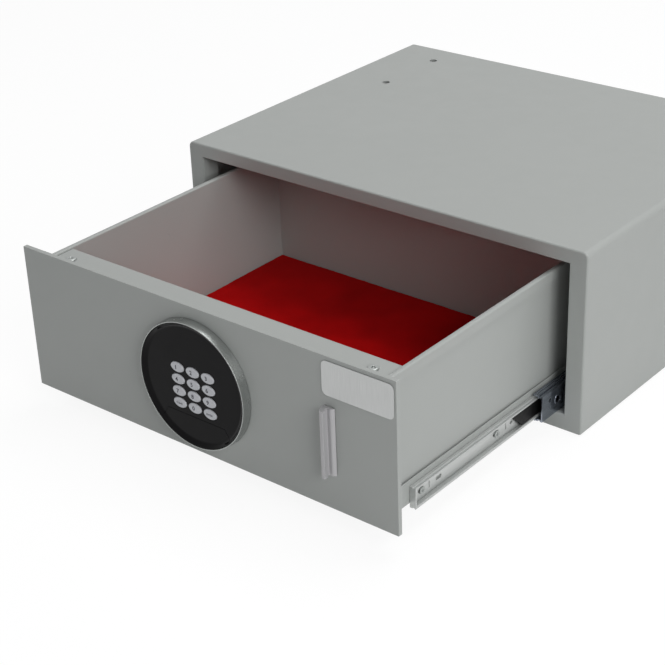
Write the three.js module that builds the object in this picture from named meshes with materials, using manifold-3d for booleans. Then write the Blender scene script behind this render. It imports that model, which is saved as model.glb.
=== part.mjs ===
// Under-desk drawer safe: a steel body, a drawer on telescopic slides, a keypad and a motor-driven lock.
// Millimetres. +X right, +Y back, +Z up. The origin is the middle of the body's underside.
// At rest the drawer stands open by drawerOpen. Drawer sizes in Y count from the panel's front face.
import * as THREE from 'three';
import { mergeVertices } from 'three/addons/utils/BufferGeometryUtils.js';
import Module from 'manifold-3d';

const wasm = await Module();
wasm.setup();

// Clearances
const seatGap = 0.3;
const holeClearance = 0.3;

// Body shell, folded from sheet with a front frame and a return round the opening
const bodyWidth = 400;
const bodyHeight = 155;
const bodyDepth = 320;
const shellThickness = 2;
const shellRadius = 5;
const shellFootRadius = 2.4;
const frameSideWidth = 15.5;
const frameRailHeight = 12;
const frameSillHeight = 14.4;
const frameReturnDepth = 18;
const backFlangeDepth = 12;
const fixingHole = 7;
const fixingHoleX = 150;
const fixingHoleSetbacks = [215, 290];

// Front panel, which closes inside the opening
const drawerOpen = 207;
const panelThickness = 4;
const panelSideGap = 2.5;
const panelTopGap = 4.8;
const panelBottomGap = 1.4;

// Telescopic slides: three nested members with a ball cage between each two
const slideLength = 250;
const slideThickness = 12.7;
const slideFrontGap = 12;
const drawerMemberSetback = 31;
const midMemberRatio = 0.25;
const midMemberClearance = 0.9;
const drawerMemberHalfHeight = 8.6;
const midMemberHalfHeight = 11.1;
const cabinetMemberHalfHeight = 13.6;
const memberSheet = 1;
const drawerMemberSheet = 1.2;
const drawerMemberDepth = 5.25;
const midMemberInset = 1.8;
const midMemberDepth = 8.6;
const cabinetMemberDepth = 6.9;
const grooveHalfWidth = 0.7;
const grooveRamp = 0.4;
const drawerGrooveDepth = 0.6;
const innerGrooveBulge = 0.4;
const outerGrooveDepth = 0.9;
const innerBallLine = 3.4;
const outerBallLine = 7.5;
const ballDiameter = 1.8;
const ballsPerRow = 4;
const ballEndMargin = 5;
const cageSheet = 0.5;
const innerCageWeb = 5.8;
const innerCageInset = 2;
const innerCageChamfer = 1;
const innerCageLength = 60;
const innerCageSetback = 95;
const outerCageWeb = 10.8;
const outerCageInset = 6.2;
const outerCageLength = 120;
const outerCageSetback = 40;
const midHoleDiameter = 6;
const midHoleSetback = 22;
const leverLength = 47;
const leverSetback = 124;
const leverHalfHeight = 6.4;
const leverThickness = 3;
const leverPointLength = 12;
const leverTip = 5.2;

// Angle brackets that carry the slides on the body's floor
const bracketThickness = 2;
const bracketStandoff = 14.9;
const bracketRise = 3;

// Drawer tray: an inner sheet with an outward hem, an outer skin and a base pan
const trayLength = 279;
const traySheet = 1.2;
const trayTopDrop = 8;
const wallCavity = 0.6;
const hemHeight = 8;
const panThickness = 1.5;
const panFlangeHeight = 20;
const panRise = 4.2;
const floorCavity = 3.3;
const floorRibInset = 28;
const floorRibTopWidth = 30;
const floorRibBaseWidth = 20;
const liningThickness = 3.5;
const liningMargin = 0.6;

// Lock compartment behind the panel, under a screwed cover
const ledgeDepth = 34.2;
const ledgeDrop = 1.6;
const coverSideGap = 0.5;
const coverScrewInset = 14.5;
const coverScrewY = 18.5;
const coverLugWidth = 16;
const coverLugDepth = 18;
const coverLugDrop = 15;
const coverLugSheet = 1.5;
const weldDepth = 0.4;

// Screws
const screwShank = 3;
const screwHead = 6.6;
const screwHeadHeight = 2.2;
const slideScrewSetbacks = [12.2, 105.4];
const slideScrewHead = 6;
const slideScrewHeadHeight = 1;
const coverScrewHead = 8.4;
const coverScrewHeadHeight = 1.3;
const coverScrewLength = 8;
const crossSlotWidth = 1.1;
const crossSlotLength = 4.6;
const crossSlotDepth = 0.8;

// Keypad on the panel
const keypadX = -1;
const keypadDrop = 0.5;
const bezelRadius = 52;
const bezelRim = 1.3;
const bezelTaper = 0.4;
const bezelChamfer = 0.3;
const bezelInnerChamfer = 0.2;
const bezelFlange = 7.7;
const bezelFlangeHeight = 1.5;
const bezelSegments = 56;
const keypadScrewInset = 5.8;
const faceRecess = 3;
const faceThickness = 1.1;
const faceSlope = 3;
const faceRim = 0.5;
const faceSkirt = 3.6;
const keyWidth = 12.8;
const keyHeight = 8.2;
const keyPitchX = 15.1;
const keyPitchZ = 10;
const keyColumns = 3;
const keyRows = 4;
const keyDrop = 4.4;
const keyProud = 0.7;
const keyTravel = 0.8;
const keyStopGap = 0.2;
const keyFlange = 0.6;
const keyFlangeThickness = 0.6;
const keySegments = 10;
const matThickness = 0.5;
const matRadius = 41.5;
const keypadBoardThickness = 0.9;
const keypadBoardRadius = 42.3;
const cableHole = 12;
const cableHoleRise = 24;

// Pull handle, an aluminium profile
const handleSetIn = 1;
const handleGap = 8.5;
const handleHeight = 54.1;
const handleWidth = 9.7;
const handleReach = 9.2;
const handleEdge = 0.5;
const handleBaseLength = 3.6;
const handleBaseRise = 2.5;
const handleWall = 4.8;
const handleLipLeft = 2.9;
const handleLipRight = 5.7;
const handleLipDepth = 3.4;
const handleShoulder = 4.5;
const handleScrewInset = 2.3;
const handleScrewMargin = 10;
const handleScrewDepth = 3.8;

// Name plate, left blank
const plateWidth = 61.8;
const plateHeight = 27;
const plateThickness = 0.5;
const plateRadius = 4.5;
const plateSideMargin = 1.7;
const plateTopMargin = 3.2;

// Locking bolts, the bar and rack that move them, and their guides
const boltDiameter = 8;
const boltInset = 55;
const boltRecess = 0.4;
const boltHole = 9.4;
const boltSpigot = 5;
const boltHead = 7.4;
const boltHeadHeight = 1.6;
const barRise = 38;
const barThickness = 3;
const barHalfDepth = 4.5;
const barClearance = 0.4;
const barOverhang = 7;
const guideHeight = 12;
const guideRise = 8;
const guideWall = 0.7;
const guideHalfWidth = 8;

// Pinion and rack, and the motor that drives them
const toothModule = 1.2;
const pinionTeeth = 12;
const toothAddendum = 1.1;
const toothDedendum = 1.5;
const toothBacklash = 0.7;
const pressureSlope = Math.tan(THREE.MathUtils.degToRad(20));
const rackBack = 4.5;
const rackTeeth = 8;
const rackTeethBelow = 2;
const gearHalfThickness = 2.5;
const pinionRise = 15;
const shaftDiameter = 3;
const shaftEngagement = 6;
const shaftClearance = 0.6;
const motorBoxSize = 24;
const motorBoxDepth = 11.5;
const motorCanDiameter = 10;
const motorCanLength = 22;

// Lock chassis, control board and batteries
const chassisHalfWidth = 55;
const chassisRise = 10;
const chassisClearance = 1;
const chassisSheet = 1.2;
const boardWidth = 44;
const boardHeight = 60;
const boardThickness = 1.6;
const boardSpacer = 1;
const boardSpacerDiameter = 5;
const boardEdge = 4;
const boardPartHeight = 6;
const cellDiameter = 14.5;
const cellLength = 50.5;
const cellCount = 4;
const cellButton = 5;
const cellButtonHeight = 1.2;
const cellWrapHalf = 3.5;
const holderWall = 1;
const holderGap = 3;
const holderRise = 22;

// Derived places of the body
const halfWidth = bodyWidth / 2;
const front = -bodyDepth / 2;
const back = bodyDepth / 2;
const openingHalfWidth = halfWidth - frameSideWidth;
const openingBottom = frameSillHeight;
const openingTop = bodyHeight - frameRailHeight;
const panelHalfWidth = openingHalfWidth - panelSideGap;
const panelBottom = openingBottom + panelBottomGap;
const panelTop = openingTop - panelTopGap;
const panelBack = panelThickness + seatGap;
const plateRight = panelHalfWidth - plateSideMargin;
const plateTop = panelTop - plateTopMargin;
const handleX = plateRight - plateWidth + handleSetIn;
const handleBottom = plateTop - plateHeight - handleGap - handleHeight;

// Derived places of the slides, from the body wall inwards to the tray
const slideOuterX = halfWidth - shellThickness - bracketStandoff - bracketThickness - seatGap;
const memberFaceX = slideOuterX - slideThickness;
const slideZ = openingBottom + midMemberClearance + midMemberHalfHeight;
const cabinetSlideY = frameReturnDepth + slideFrontGap;
const midShift = -drawerOpen * midMemberRatio;
const innerCageShift = (midShift - drawerOpen) / 2;
const outerCageShift = midShift / 2;
const panOuterX = memberFaceX - seatGap;
const skinOuterX = panOuterX - panThickness - seatGap;
const wallOuterX = skinOuterX - traySheet - wallCavity;
const wallInnerX = wallOuterX - traySheet;
const hemOuterX = skinOuterX + seatGap + traySheet;

// Derived heights of the tray
const trayTop = panelTop - trayTopDrop;
const panBottom = panelBottom + panRise;
const panTop = panBottom + panThickness;
const floorBottom = panTop + floorCavity;
const floorTop = floorBottom + traySheet;
const liningBottom = floorTop + seatGap;
const ledgeTop = trayTop - ledgeDrop;
const wallBackY = trayLength + traySheet;
const skinBackY = wallBackY + wallCavity + traySheet;
const hemBackY = skinBackY + seatGap + traySheet;
const coverScrewX = wallInnerX - coverScrewInset;
const boltX = wallInnerX - boltInset;
const floorRibCentre = boltX - floorRibInset;

// Derived places of the keypad, counted outwards from the panel
const keypadZ = (panelTop + panelBottom) / 2 - keypadDrop;
const boardFront = seatGap + keypadBoardThickness;
const matFront = boardFront + seatGap + matThickness;
const keyFlangeBack = matFront + keyTravel + keyStopGap;
const keyFlangeFront = keyFlangeBack + keyFlangeThickness;
const faceBack = keyFlangeFront + seatGap;
const faceFront = faceBack + faceThickness;
const keyTop = faceFront + keyProud;
const bezelHeight = faceFront + faceRecess;
const faceRadius = bezelRadius - bezelRim - seatGap;
const keypadScrewRadius = bezelRadius - keypadScrewInset;

// Derived places of the lock
const boltY = panelBack + screwHeadHeight + barClearance + barHalfDepth;
const pinionRadius = toothModule * pinionTeeth / 2;
const toothPitch = Math.PI * toothModule;
const barZ = floorTop + barRise;
const guideZ = floorTop + guideRise;
const pinionZ = barZ + barThickness + pinionRise;
const rackTop = pinionZ + (rackTeeth - rackTeethBelow - 1 / 2) * toothPitch;
const barHalfLength = boltX + barOverhang;
const boltBottom = panBottom + boltRecess;
const guideBack = boltY + boltDiameter / 2 + holeClearance + guideWall;
const chassisWeb = boltY + barHalfDepth + chassisClearance;
const chassisBack = chassisWeb + chassisSheet;
const motorFront = chassisBack + seatGap;
const chassisBottom = floorTop + chassisRise;
const chassisTop = rackTop + chassisClearance + chassisSheet;
const holderRightX = -chassisHalfWidth - holderGap;
const holderZ = floorTop + holderRise;
const coverInner = ledgeDepth - traySheet;

// Solids: three.js geometry into the boolean library and back.
// Corners are rounded to a fine grid, so that faces meant to lie in one plane do.
const gridStepsPerMm = 1024;

function solid(geometry) {
  const bare = geometry.index ? geometry.toNonIndexed() : geometry.clone();
  for (const name of Object.keys(bare.attributes)) {
    if (name !== 'position') bare.deleteAttribute(name);
  }
  const corners = bare.attributes.position;
  corners.array.forEach((value, i) => {
    corners.array[i] = Math.round(value * gridStepsPerMm) / gridStepsPerMm;
  });
  const merged = mergeVertices(bare, 1 / (2 * gridStepsPerMm));
  const mesh = new wasm.Mesh({
    numProp: 3,
    vertProperties: new Float32Array(merged.attributes.position.array),
    triVerts: new Uint32Array(merged.index.array),
  });
  mesh.merge();
  return new wasm.Manifold(mesh);
}

function geometryOf(body) {
  const mesh = body.getMesh();
  const geometry = new THREE.BufferGeometry();
  geometry.setAttribute('position', new THREE.BufferAttribute(mesh.vertProperties, 3));
  geometry.setIndex(new THREE.BufferAttribute(mesh.triVerts, 1));
  return geometry;
}

function join(bodies) {
  return bodies.reduce((all, body) => all.add(body));
}

function cut(body, tools) {
  return tools.reduce((left, tool) => left.subtract(tool), body);
}

// Prisms of an outline, from one coordinate to another along an axis
const axes = {
  x: [new THREE.Vector3(0, 1, 0), new THREE.Vector3(0, 0, 1), new THREE.Vector3(1, 0, 0)],
  y: [new THREE.Vector3(-1, 0, 0), new THREE.Vector3(0, 0, 1), new THREE.Vector3(0, 1, 0)],
  z: [new THREE.Vector3(1, 0, 0), new THREE.Vector3(0, 1, 0), new THREE.Vector3(0, 0, 1)],
};

function prism(shape, axis, from, to, curveSegments = 8) {
  const options = { depth: to - from, bevelEnabled: false, curveSegments };
  const geometry = new THREE.ExtrudeGeometry(shape, options);
  geometry.translate(0, 0, from);
  geometry.applyMatrix4(new THREE.Matrix4().makeBasis(...axes[axis]));
  return solid(geometry);
}

function outline(points) {
  return new THREE.Shape(points.map(([a, b]) => new THREE.Vector2(a, b)));
}

function block(x0, x1, y0, y1, z0, z1) {
  const geometry = new THREE.BoxGeometry(x1 - x0, y1 - y0, z1 - z0);
  geometry.translate((x0 + x1) / 2, (y0 + y1) / 2, (z0 + z1) / 2);
  return solid(geometry);
}

// A rod between two coordinates along an axis, centred on the two others in x, y, z order
function rod(axis, diameter, from, to, centreA, centreB, segments = 16) {
  const geometry = new THREE.CylinderGeometry(diameter / 2, diameter / 2, to - from, segments);
  const middle = (from + to) / 2;
  if (axis === 'x') geometry.rotateZ(Math.PI / 2).translate(middle, centreA, centreB);
  if (axis === 'y') geometry.translate(centreA, middle, centreB);
  if (axis === 'z') geometry.rotateX(Math.PI / 2).translate(centreA, centreB, middle);
  return solid(geometry);
}

// Sheet metal: the points run along one face, and the sheet lies on their left
function sheet(points, thickness) {
  const path = points.map(([a, b]) => new THREE.Vector2(a, b));
  const normals = path.slice(1).map((point, i) => {
    const run = point.clone().sub(path[i]).normalize();
    return new THREE.Vector2(-run.y, run.x);
  });
  const offset = path.map((point, i) => {
    const before = normals[Math.max(i - 1, 0)];
    const after = normals[Math.min(i, normals.length - 1)];
    const mitre = before.clone().add(after).divideScalar(1 + before.dot(after));
    return point.clone().addScaledVector(mitre, thickness);
  });
  return new THREE.Shape([...path, ...offset.reverse()]);
}

function roundedRectangle(x0, x1, z0, z1, radius, footRadius = radius) {
  const shape = new THREE.Shape();
  shape.moveTo(x0 + footRadius, z0);
  shape.lineTo(x1 - footRadius, z0);
  shape.absarc(x1 - footRadius, z0 + footRadius, footRadius, -Math.PI / 2, 0);
  shape.lineTo(x1, z1 - radius);
  shape.absarc(x1 - radius, z1 - radius, radius, 0, Math.PI / 2);
  shape.lineTo(x0 + radius, z1);
  shape.absarc(x0 + radius, z1 - radius, radius, Math.PI / 2, Math.PI);
  shape.lineTo(x0, z0 + footRadius);
  shape.absarc(x0 + footRadius, z0 + footRadius, footRadius, Math.PI, 1.5 * Math.PI);
  return shape;
}

// Turned pieces on the panel: profile points are radius and distance out from the panel
function turnedOnPanel(points, x, z, segments) {
  const profile = points.map(([radius, out]) => new THREE.Vector2(radius, out));
  const geometry = new THREE.LatheGeometry([...profile, profile[0]], segments);
  geometry.rotateX(Math.PI);
  geometry.translate(x, 0, z);
  return solid(geometry);
}

// Materials
const paint = new THREE.MeshStandardMaterial({ color: 0xa9adab, roughness: 0.55, metalness: 0.1 });
const zinc = new THREE.MeshStandardMaterial({ color: 0xb9bec2, roughness: 0.3, metalness: 0.9 });
const steel = new THREE.MeshStandardMaterial({ color: 0x9a9da0, roughness: 0.35, metalness: 0.9 });
const satinAluminium = new THREE.MeshStandardMaterial({ color: 0xb8b8b6, roughness: 0.4, metalness: 0.8 });
const chrome = new THREE.MeshStandardMaterial({ color: 0xc4c7c9, roughness: 0.2, metalness: 1 });
const glossBlack = new THREE.MeshStandardMaterial({ color: 0x17171a, roughness: 0.12, metalness: 0 });
const blackPlastic = new THREE.MeshStandardMaterial({ color: 0x1c1c1e, roughness: 0.5, metalness: 0 });
const keySilver = new THREE.MeshStandardMaterial({ color: 0xc0c2c8, roughness: 0.4, metalness: 0.2 });
const redFelt = new THREE.MeshStandardMaterial({ color: 0xb01218, roughness: 0.95, metalness: 0 });
const circuitGreen = new THREE.MeshStandardMaterial({ color: 0x1f5b34, roughness: 0.5, metalness: 0.1 });
const greyRubber = new THREE.MeshStandardMaterial({ color: 0x5b5d60, roughness: 0.8, metalness: 0 });
const platePaint = new THREE.MeshStandardMaterial({ color: 0xb7b8b6, roughness: 0.35, metalness: 0.5 });
const cellJacket = new THREE.MeshStandardMaterial({ color: 0x2f3a48, roughness: 0.4, metalness: 0.3 });

const safe = new THREE.Group();
const body = new THREE.Group();
const drawer = new THREE.Group();
body.position.set(0, front, 0);
drawer.position.set(0, front - drawerOpen, 0);
safe.add(body, drawer);

function place(group, name, shape, material, shift = 0) {
  const mesh = new THREE.Mesh(geometryOf(shape), material.clone());
  mesh.name = name;
  mesh.position.y = shift;
  group.add(mesh);
}

// Body shell: folded wrap, front frame and the return behind it, with a square hole under each bolt
function outerShell() {
  const outside = roundedRectangle(-halfWidth, halfWidth, 0, bodyHeight, shellRadius, shellFootRadius);
  const wrapInside = roundedRectangle(-halfWidth + shellThickness, halfWidth - shellThickness,
    shellThickness, bodyHeight - shellThickness, shellRadius - shellThickness,
    shellFootRadius - shellThickness);
  const opening = outline([
    [-openingHalfWidth, openingBottom], [openingHalfWidth, openingBottom],
    [openingHalfWidth, openingTop], [-openingHalfWidth, openingTop],
  ]);
  const returnOutside = outline([
    [-openingHalfWidth - shellThickness, openingBottom - shellThickness],
    [openingHalfWidth + shellThickness, openingBottom - shellThickness],
    [openingHalfWidth + shellThickness, openingTop + shellThickness],
    [-openingHalfWidth - shellThickness, openingTop + shellThickness],
  ]);
  const wrap = prism(outside, 'y', 0, bodyDepth).subtract(
    prism(wrapInside, 'y', shellThickness, bodyDepth + 1));
  const opened = wrap.subtract(prism(opening, 'y', -1, bodyDepth));
  const frameReturn = prism(returnOutside, 'y', 0, frameReturnDepth).subtract(
    prism(opening, 'y', -1, frameReturnDepth + 1));
  const boltHoles = [-boltX, boltX].map((x) =>
    block(x - boltHole / 2, x + boltHole / 2, boltY - boltHole / 2, boltY + boltHole / 2,
      shellThickness + seatGap, openingBottom + 1));
  const fixingHoles = [-fixingHoleX, fixingHoleX].flatMap((x) => fixingHoleSetbacks.map((y) =>
    rod('z', fixingHole, bodyHeight - shellThickness - 1, bodyHeight + 1, x, y)));
  return cut(opened.add(frameReturn), [...boltHoles, ...fixingHoles]);
}

// Back panel, a sheet with a flange all round, inside the wrap
function backPanel() {
  const inset = shellThickness + seatGap;
  const outside = roundedRectangle(-halfWidth + inset, halfWidth - inset, inset,
    bodyHeight - inset, shellRadius - shellThickness);
  const flangeInset = inset + shellThickness;
  const inside = outline([
    [-halfWidth + flangeInset, flangeInset],
    [halfWidth - flangeInset, flangeInset],
    [halfWidth - flangeInset, bodyHeight - flangeInset],
    [-halfWidth + flangeInset, bodyHeight - flangeInset],
  ]);
  const sheetFront = bodyDepth - shellThickness;
  return prism(outside, 'y', bodyDepth - backFlangeDepth, bodyDepth).subtract(
    prism(inside, 'y', 0, sheetFront));
}

// Slide profiles: u runs from the tray side outwards, w is the height over the slide's middle
function drawerMemberProfile() {
  const h = drawerMemberHalfHeight;
  const top = [
    [drawerMemberDepth, h], [innerBallLine + grooveHalfWidth + grooveRamp, h],
    [innerBallLine + grooveHalfWidth, h - drawerGrooveDepth],
    [innerBallLine - grooveHalfWidth, h - drawerGrooveDepth],
    [innerBallLine - grooveHalfWidth - grooveRamp, h], [0, h],
  ];
  const bottom = top.map(([u, w]) => [u, -w]).reverse();
  return [...top, ...bottom];
}

function midMemberProfile() {
  const h = midMemberHalfHeight;
  const webU = midMemberInset + midMemberDepth;
  const bottom = [
    [midMemberInset, -h], [innerBallLine - grooveHalfWidth - grooveRamp, -h],
    [innerBallLine - grooveHalfWidth, -h - innerGrooveBulge],
    [innerBallLine + grooveHalfWidth, -h - innerGrooveBulge],
    [innerBallLine + grooveHalfWidth + grooveRamp, -h],
    [outerBallLine - grooveHalfWidth - grooveRamp, -h],
    [outerBallLine - grooveHalfWidth, -h + outerGrooveDepth],
    [outerBallLine + grooveHalfWidth, -h + outerGrooveDepth],
    [outerBallLine + grooveHalfWidth + grooveRamp, -h], [webU, -h],
  ];
  const top = bottom.map(([u, w]) => [u, -w]).reverse();
  return [...bottom, ...top];
}

function channelProfile(openU, webU, halfHeight) {
  return [[openU, -halfHeight], [webU, -halfHeight], [webU, halfHeight], [openU, halfHeight]];
}

function chamferedChannelProfile(openU, webU, halfHeight, chamfer) {
  return [
    [openU, -halfHeight], [webU - chamfer, -halfHeight], [webU, chamfer - halfHeight],
    [webU, halfHeight - chamfer], [webU - chamfer, halfHeight], [openU, halfHeight],
  ];
}

// One slide member along Y, of bent sheet, its profile set at the tray side of one slide
function slideMember(profile, thickness, from, to) {
  const section = profile.map(([u, w]) => [memberFaceX + u, slideZ + w]);
  return prism(outlineAcross(sheet(section, thickness)), 'y', from, to);
}

function mirrored(shape, side) {
  return side > 0 ? shape : shape.mirror([1, 0, 0]);
}

const innerBallW = (drawerMemberHalfHeight - drawerGrooveDepth
  + midMemberHalfHeight - memberSheet + innerGrooveBulge) / 2;
const outerBallW = (midMemberHalfHeight - outerGrooveDepth + cabinetMemberHalfHeight - memberSheet) / 2;
const innerCageW = (drawerMemberHalfHeight + midMemberHalfHeight - memberSheet + cageSheet) / 2;
const outerCageW = (midMemberHalfHeight + cabinetMemberHalfHeight - memberSheet + cageSheet) / 2;

function ballPlaces(from, length) {
  const pitch = (length - 2 * ballEndMargin) / (ballsPerRow - 1);
  return Array.from({ length: ballsPerRow }, (_, i) => from + ballEndMargin + i * pitch);
}

// A ball cage with its two rows of balls, which it grips
function ballCage(profile, line, w, from, length) {
  const places = ballPlaces(from, length).flatMap((y) => [[y, w], [y, -w]]);
  const balls = places.map(([y, height]) => {
    const ball = new THREE.SphereGeometry(ballDiameter / 2, 6, 3);
    ball.translate(memberFaceX + line, y, slideZ + height);
    return solid(ball);
  });
  return join([slideMember(profile, cageSheet, from, from + length), ...balls]);
}

function drawerMember() {
  const from = drawerMemberSetback;
  const member = slideMember(drawerMemberProfile(), drawerMemberSheet, from, from + slideLength);
  const tabHalfHeight = drawerMemberHalfHeight - drawerMemberSheet / 2;
  const tab = block(memberFaceX, memberFaceX + drawerMemberDepth, from, from + drawerMemberSheet,
    slideZ - tabHalfHeight, slideZ + tabHalfHeight);
  return cut(member.add(tab), slideScrewBores(memberFaceX - 1, memberFaceX + drawerMemberSheet + 1));
}

function midMember() {
  const member = slideMember(midMemberProfile(), memberSheet, cabinetSlideY, cabinetSlideY + slideLength);
  const webX = memberFaceX + midMemberInset + midMemberDepth;
  const hole = rod('x', midHoleDiameter, webX - memberSheet - 1, webX + 1,
    cabinetSlideY + midHoleSetback, slideZ);
  return member.subtract(hole);
}

function cabinetMember() {
  const profile = channelProfile(slideThickness - cabinetMemberDepth, slideThickness,
    cabinetMemberHalfHeight);
  return slideMember(profile, memberSheet, cabinetSlideY, cabinetSlideY + slideLength);
}

// Screws that hold the drawer members to the tray
function slideScrewBores(from, to) {
  return slideScrewSetbacks.map((setback) =>
    rod('x', screwShank + 2 * holeClearance, from, to, drawerMemberSetback + setback, slideZ));
}

function drawerSlideScrews() {
  const seat = memberFaceX + drawerMemberSheet + seatGap;
  const tip = wallOuterX + seatGap;
  return slideScrewSetbacks.map((setback) => {
    const y = drawerMemberSetback + setback;
    return rod('x', slideScrewHead, seat, seat + slideScrewHeadHeight, y, slideZ).add(
      rod('x', screwShank, tip, seat + 1, y, slideZ));
  });
}

function slideBracket() {
  const faceX = slideOuterX + seatGap;
  const footX = halfWidth - shellRadius - seatGap;
  const footZ = shellThickness + seatGap;
  const profile = sheet([
    [footX, footZ], [faceX, footZ], [faceX, slideZ + cabinetMemberHalfHeight + bracketRise],
  ], -bracketThickness);
  return prism(outlineAcross(profile), 'y', cabinetSlideY, cabinetSlideY + slideLength);
}

// Prisms along Y turn an outline round, so one drawn in X and Z is mirrored first
function outlineAcross(shape) {
  return new THREE.Shape(shape.getPoints().map((point) => new THREE.Vector2(-point.x, point.y)));
}

function releaseLever() {
  const from = drawerMemberSetback + leverSetback;
  const to = from + leverLength;
  const h = leverHalfHeight;
  const profile = outline([
    [from, leverTip], [from + leverPointLength, -h], [to, -h], [to, h], [from, h],
  ]);
  const inner = memberFaceX + drawerMemberSheet + seatGap;
  return prism(profile, 'x', inner, inner + leverThickness).translate([0, 0, slideZ]);
}

// Drawer tray
function trayBody() {
  const hemBottom = trayTop - hemHeight;
  const rib = (centre) => [
    [centre + floorRibTopWidth / 2, floorTop],
    [centre + floorRibBaseWidth / 2, floorTop - floorCavity + seatGap],
    [centre - floorRibBaseWidth / 2, floorTop - floorCavity + seatGap],
    [centre - floorRibTopWidth / 2, floorTop],
  ];
  const across = sheet([
    [hemOuterX, hemBottom], [hemOuterX, trayTop], [wallInnerX, trayTop], [wallInnerX, floorTop],
    ...rib(floorRibCentre), ...rib(-floorRibCentre),
    [-wallInnerX, floorTop], [-wallInnerX, trayTop], [-hemOuterX, trayTop], [-hemOuterX, hemBottom],
  ], traySheet);
  const backHem = sheet([
    [hemBackY, hemBottom], [hemBackY, trayTop], [trayLength, trayTop],
  ], traySheet);
  const sides = prism(across, 'y', panelBack, wallBackY);
  const sideHems = [-1, 1].map((side) => mirrored(block(hemOuterX - traySheet, hemOuterX,
    panelBack, hemBackY, hemBottom, trayTop), side));
  const backWall = block(-wallOuterX, wallOuterX, trayLength, wallBackY, floorBottom, trayTop);
  const lugs = [-1, 1].map((side) => mirrored(coverLug(), side));
  const whole = join([sides, ...sideHems, backWall, prism(backHem, 'x', -hemOuterX, hemOuterX), ...lugs]);
  return cut(whole, boltBores(floorBottom - floorCavity, floorTop + 1));
}

// A folded lug welded to the tray's wall, which takes a screw of the lock cover
function coverLug() {
  const top = ledgeTop - traySheet - seatGap;
  const inner = coverScrewX - coverLugWidth / 2;
  const profile = sheet([
    [wallInnerX + weldDepth, top - coverLugDrop], [wallInnerX + weldDepth, top], [inner, top],
  ], coverLugSheet);
  const lug = prism(outlineAcross(profile), 'y',
    coverScrewY - coverLugDepth / 2, coverScrewY + coverLugDepth / 2);
  return lug.subtract(coverBore(coverScrewX, top - coverLugSheet - 1, top + 1));
}

function boltBores(from, to) {
  return [-boltX, boltX].map((x) => rod('z', boltHole, from, to, x, boltY));
}

function trayOuterSkin() {
  const wrap = sheet([
    [skinOuterX, panelBack], [skinOuterX, skinBackY], [-skinOuterX, skinBackY], [-skinOuterX, panelBack],
  ], traySheet);
  const skin = prism(wrap, 'z', panTop + seatGap, trayTop - traySheet - seatGap);
  const bores = slideScrewBores(wallOuterX, skinOuterX + 1);
  return cut(skin, [...bores, ...bores.map((bore) => bore.mirror([1, 0, 0]))]);
}

function basePan() {
  const flangeTop = panBottom + panFlangeHeight;
  const profile = sheet([
    [-panOuterX, flangeTop], [-panOuterX, panBottom], [panOuterX, panBottom], [panOuterX, flangeTop],
  ], panThickness);
  const pan = prism(profile, 'y', panelBack, skinBackY);
  const bores = slideScrewBores(skinOuterX, panOuterX + 1);
  return cut(pan, [...bores, ...bores.map((bore) => bore.mirror([1, 0, 0])),
    ...boltBores(panBottom - 1, panTop + 1)]);
}

function floorLining() {
  const halfLining = wallInnerX - liningMargin;
  return block(-halfLining, halfLining, ledgeDepth + liningMargin, trayLength - liningMargin,
    liningBottom, liningBottom + liningThickness);
}

// Front panel with its holes
function frontPanel() {
  const bores = [
    rod('y', cableHole, -1, panelThickness + 1, keypadX, keypadZ + cableHoleRise),
    ...keypadScrewPlaces().map((x) => screwBore(x, keypadZ)),
    ...handleScrewHeights().map((z) => screwBore(handleX + handleScrewInset, z)),
  ];
  const plate = block(-panelHalfWidth, panelHalfWidth, 0, panelThickness, panelBottom, panelTop);
  return cut(plate, bores);
}

function keypadScrewPlaces() {
  return [keypadX - keypadScrewRadius, keypadX + keypadScrewRadius];
}

function handleScrewHeights() {
  return [handleBottom + handleScrewMargin, handleBottom + handleHeight - handleScrewMargin];
}

function screwBore(x, z) {
  return rod('y', screwShank + 2 * holeClearance, -1, panelThickness + 1, x, z);
}

// A screw from behind the panel, its tip at a distance in front of it
function panelScrew(x, z, reach) {
  return rod('y', screwHead, panelBack, panelBack + screwHeadHeight, x, z).add(
    rod('y', screwShank, -reach, panelBack + 1, x, z));
}

// Lock compartment's cover and its two screws
function coverBore(x, from, to) {
  return rod('z', screwShank + 2 * holeClearance, from, to, x, coverScrewY);
}

function lockCover() {
  const profile = sheet([
    [ledgeDepth, liningBottom], [ledgeDepth, ledgeTop], [panelBack, ledgeTop],
  ], traySheet);
  const halfCover = wallInnerX - coverSideGap;
  const cover = prism(profile, 'x', -halfCover, halfCover);
  return cut(cover, [-coverScrewX, coverScrewX].map((x) =>
    coverBore(x, ledgeTop - traySheet - 1, ledgeTop + 1)));
}

function coverScrew(x) {
  const seat = ledgeTop + seatGap;
  const head = rod('z', coverScrewHead, seat, seat + coverScrewHeadHeight, x, coverScrewY);
  const shank = rod('z', screwShank, seat - coverScrewLength, seat + 1, x, coverScrewY);
  const slotBottom = seat + coverScrewHeadHeight - crossSlotDepth;
  const slotTop = seat + coverScrewHeadHeight + 1;
  const half = [crossSlotWidth / 2, crossSlotLength / 2];
  const slots = [half, [...half].reverse()].map(([dx, dy]) =>
    block(x - dx, x + dx, coverScrewY - dy, coverScrewY + dy, slotBottom, slotTop));
  return cut(head.add(shank), slots);
}

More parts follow.
